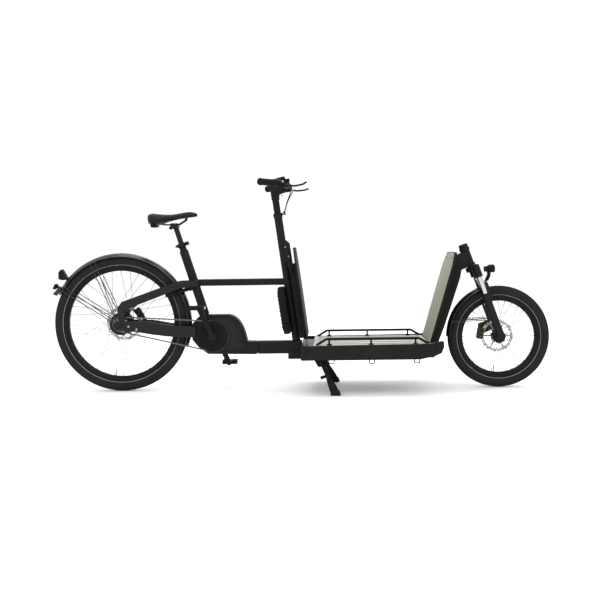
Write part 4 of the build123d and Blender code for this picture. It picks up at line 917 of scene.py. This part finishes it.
gripParts = []
for side in (-1, 1):
    r = gripSet["radius"]
    profile = [(0.003, 0), (0.001, r * 0.7), (0, r * 0.86), (0.002, r + 0.0012), (0.008, r + 0.0014),
               (0.011, r - 0.0008)]
    for i in range(17):
        at = 0.014 + i * 0.0058
        profile += [(at, r - 0.0012), (at + 0.001, r), (at + 0.0036, r), (at + 0.0046, r - 0.0012)]
    profile += [(0.114, r - 0.0008), (0.117, r + 0.0016), (0.124, r + 0.0014), (0.126, r - 0.001), (0.126, 0.0112),
                (0.02, 0.0112), (0.02, 0)]
    gripParts.append(turnedRing("grip", profile, onGrip(side, 0), gripAxis(side), steps=40))
fit(joined("gripSleeves", gripParts), "bars", "softRubber", "grips")
gripRings = []
for side in (-1, 1):
    profile = [(0.1185, 0.0162), (0.1185, 0.0186), (0.1225, 0.0186), (0.1225, 0.0162)]
    gripRings.append(turnedRing("gripRing", profile, onGrip(side, 0), gripAxis(side), steps=40))
fit(joined("gripRings", gripRings), "bars", "darkAlloy")
screenTurn = (0, -0.24498, 0)
screen = block("displayScreen", (0.042, 0.066, 0.0012), (-0.0901, 0, 1.0796), screenTurn, 0.0005)
fit(screen, "bars", "screenGlass")
buttons = []
for side in (-1, 1):
    for k in range(3):
        spot = onGrip(side, 0.134 + k * 0.012, 0.03, 0.0002)
        turn = (0, 0, atan2(-side * gripSet["dir"][1], gripSet["dir"][0]))
        buttons.append(block("button", (0.008, 0.006, 0.0022), spot, turn, 0.0008))
fit(joined("controlButtons", buttons), "bars", "softRubber")
bolts("stemBolts", [(-0.052 + 0.0255, y, 1.03 + dz) for y in (-0.014, 0.014) for dz in (-0.012, 0.012)],
      (1, 0, 0), "bars", "brushedSteel", 0.7)
bolts("collarBolts", [onColumn(0.648, 0.03, -0.0132), onColumn(0.74, 0.035, -0.0192)], (0, -1, 0), "bars",
      "brushedSteel", 0.9)
ports = []
for side in (-1, 1):
    ports.append(turnedRing("port", [(0, 0.0027), (0, 0.0052), (0.004, 0.005), (0.0065, 0.0036), (0.0065, 0.0027)],
                            onColumn(0.6544, 0.034, side * 0.007), columnUp, steps=20))
fit(joined("hosePorts", ports), "bars", "softRubber")
print("bars dressed")

# column details
housingSet = {"outline": [(0.0125, 0.372), (0.0385, 0.372), (0.0385, 0.497), (0.024, 0.514), (0.0125, 0.514)],
              "half": 0.0248}
housing = plate("columnHousing", [onColumn(up, out, -housingSet["half"]) for out, up in housingSet["outline"]],
                (0, 2 * housingSet["half"], 0), 0.003)
fit(housing, "frame", "blackPaint")
bolts("columnBolts", [onColumn(up, out, -0.0242) for up, out in ((0.43, 0.024), (0.48, 0.014))], (0, -1, 0),
      "frame", "brushedSteel", 0.8)
collars = []
for up, r in ((0.634, 0.0214), (0.3, 0.0213)):
    collars.append(turnedRing("columnRing", [(0, 0.0211), (0, r + 0.002), (0.008, r + 0.002), (0.008, 0.0211)],
                              onColumn(up, 0), columnUp, steps=48))
fit(joined("columnRings", collars), "frame", "blackPaintFine")


# lights
lampSet = {"x": 0.9925, "z": 0.6043}
lens = turnedRing("headlightLens", [(-0.002, 0), (-0.002, 0.0148), (0.0, 0.0155), (0.0018, 0.013), (0.003, 0.008),
                                    (0.0035, 0)], (lampSet["x"], 0, lampSet["z"]), (1, 0, 0.06), steps=40)
fit(lens, "lowers", "clearLens")
bezel = turnedRing("headlightRing", [(-0.001, 0.0156), (0.002, 0.0158), (0.0026, 0.0166), (0.002, 0.0176),
                                     (-0.001, 0.018)], (lampSet["x"], 0, lampSet["z"]), (1, 0, 0.06), steps=48)
hood = []
for k in range(5):
    hood.append(block("fin", (0.0022, 0.036, 0.0016), (0.966 + k * 0.0045, 0, 0.6236), soft=0.0005, segments=1))
fit(joined("headlightTrim", [bezel] + hood), "lowers", "darkAlloy")
lensOutline = [(-0.3035, 0.6265), (-0.3155, 0.6168), (-0.3172, 0.5835), (-0.3015, 0.5795)]      # ahead, up
tail = plate("tailLens", [(x + rearX, -0.0185, z) for x, z in lensOutline], (0, 0.037, 0), 0.002)
tail.data.transform(Matrix.Translation((-0.0042, 0, 0)))
fit(tail, "frame", "redLens")
rear = plate("tailReflector", [(x + rearX, -0.022, z) for x, z in ((-0.3378, 0.5551), (-0.3498, 0.5318),
                                                                  (-0.3512, 0.5325), (-0.3392, 0.5558))],
             (0, 0.044, 0), 0.0004)
fit(rear, "frame", "redLens")
print("lights dressed")


# guards' rolled edges
def guardRoll(name, centre, r, half, skirt, start, sweep, body):
    parts = []
    for side in (-1, 1):
        count = 60
        rail = bpy.data.curves.new(name, "CURVE")
        rail.dimensions = "3D"
        rail.bevel_depth, rail.bevel_resolution = 0.0017, 2
        rail.use_fill_caps = True
        run = rail.splines.new("POLY")
        run.points.add(count)
        for i, p in enumerate(run.points):
            a = radians(start + sweep * i / count)
            p.co = (centre[0] + (r - skirt) * cos(a), side * (half - 0.0012), centre[2] + (r - skirt) * sin(a), 1)
        obj = bpy.data.objects.new(name, rail)
        bpy.context.scene.collection.objects.link(obj)
        pick(obj)
        bpy.ops.object.convert(target="MESH")
        parts.append(bpy.context.object)
    fit(joined(name, parts), body, "glossGuard")


guardRoll("rearGuardEdge", rearAxle, 0.362, 0.033, 0.018, -20, 174, "frame")
guardRoll("frontGuardEdge", frontAxle + Vector((0.004, 0, 0.004)), 0.269, 0.034, 0.016, 107, 73, "lowers")

# fork details
forkSet = {"ahead": 0.012, "apart": 0.068, "capAt": -0.1075, "wiperAt": -0.262}


def onFork(along, side):
    forward = Vector((cos(headLean), 0, sin(headLean)))
    return steerTop + steerDir * along + forward * forkSet["ahead"] + yAxis * side * forkSet["apart"]


caps = []
for side in (-1, 1):
    at = onFork(forkSet["capAt"], side)
    caps.append(turnedRing("cap", [(0, 0), (0, 0.0165), (0.003, 0.0165), (0.0045, 0.0145), (0.0075, 0.0135),
                                   (0.0085, 0.0115), (0.0085, 0)], at, steerDir, steps=36))
fit(joined("forkCaps", caps), "fork", "darkAlloy")
wipers = []
for side in (-1, 1):
    profile = [(0, 0.0144), (0, 0.0188), (0.004, 0.0182), (0.007, 0.0155), (0.007, 0.0144)]
    wipers.append(turnedRing("wiper", profile, onFork(forkSet["wiperAt"], side), steerDir, steps=36))
fit(joined("forkWipers", wipers), "lowers", "softRubber")
axleEnds = []
for side in (-1, 1):
    axleEnds.append(turnedRing("axleEnd", [(0, 0), (0, 0.0105), (0.003, 0.0105), (0.0045, 0.009), (0.0045, 0.0045),
                                           (0.002, 0.004), (0.002, 0)],
                               frontAxle + yAxis * side * 0.0801, (0, side, 0), steps=32))
fit(joined("frontAxleEnds", axleEnds), "lowers", "darkAlloy")
bootSet = {
    "top": (0.116, 0.202, 0.148), "low": (0.175, 0.255, 0.014),
    "profile": [(-0.078, 0.0112), (-0.078, 0.0135), (-0.07, 0.0145), (-0.045, 0.0175), (-0.02, 0.0205),
                (-0.004, 0.0205), (0.001, 0.018), (0.001, 0)],
}
boots = []
for side in (-1, 1):
    top, low = [Vector((x, y * side, z)) for x, y, z in (bootSet["top"], bootSet["low"])]
    boots.append(turnedRing("boot", bootSet["profile"] + [(-0.078, 0)], low, low - top, steps=36))
    boots.append(block("shoe", (0.05, 0.036, 0.012), (1.092 + rearX, side * 0.255, 0.0065), soft=0.004))
fit(joined("standShoes", boots), "stand", "softRubber")
print("fork and stand dressed")

# floor
clear()
bpy.ops.mesh.primitive_plane_add(size=60, location=(0, 0, -0.0005))
floor = bpy.context.object
floor.name = "studioFloor"
paint(floor, "studioFloor")

bpy.data.objects.remove(boltMould)
print("all pieces placed")
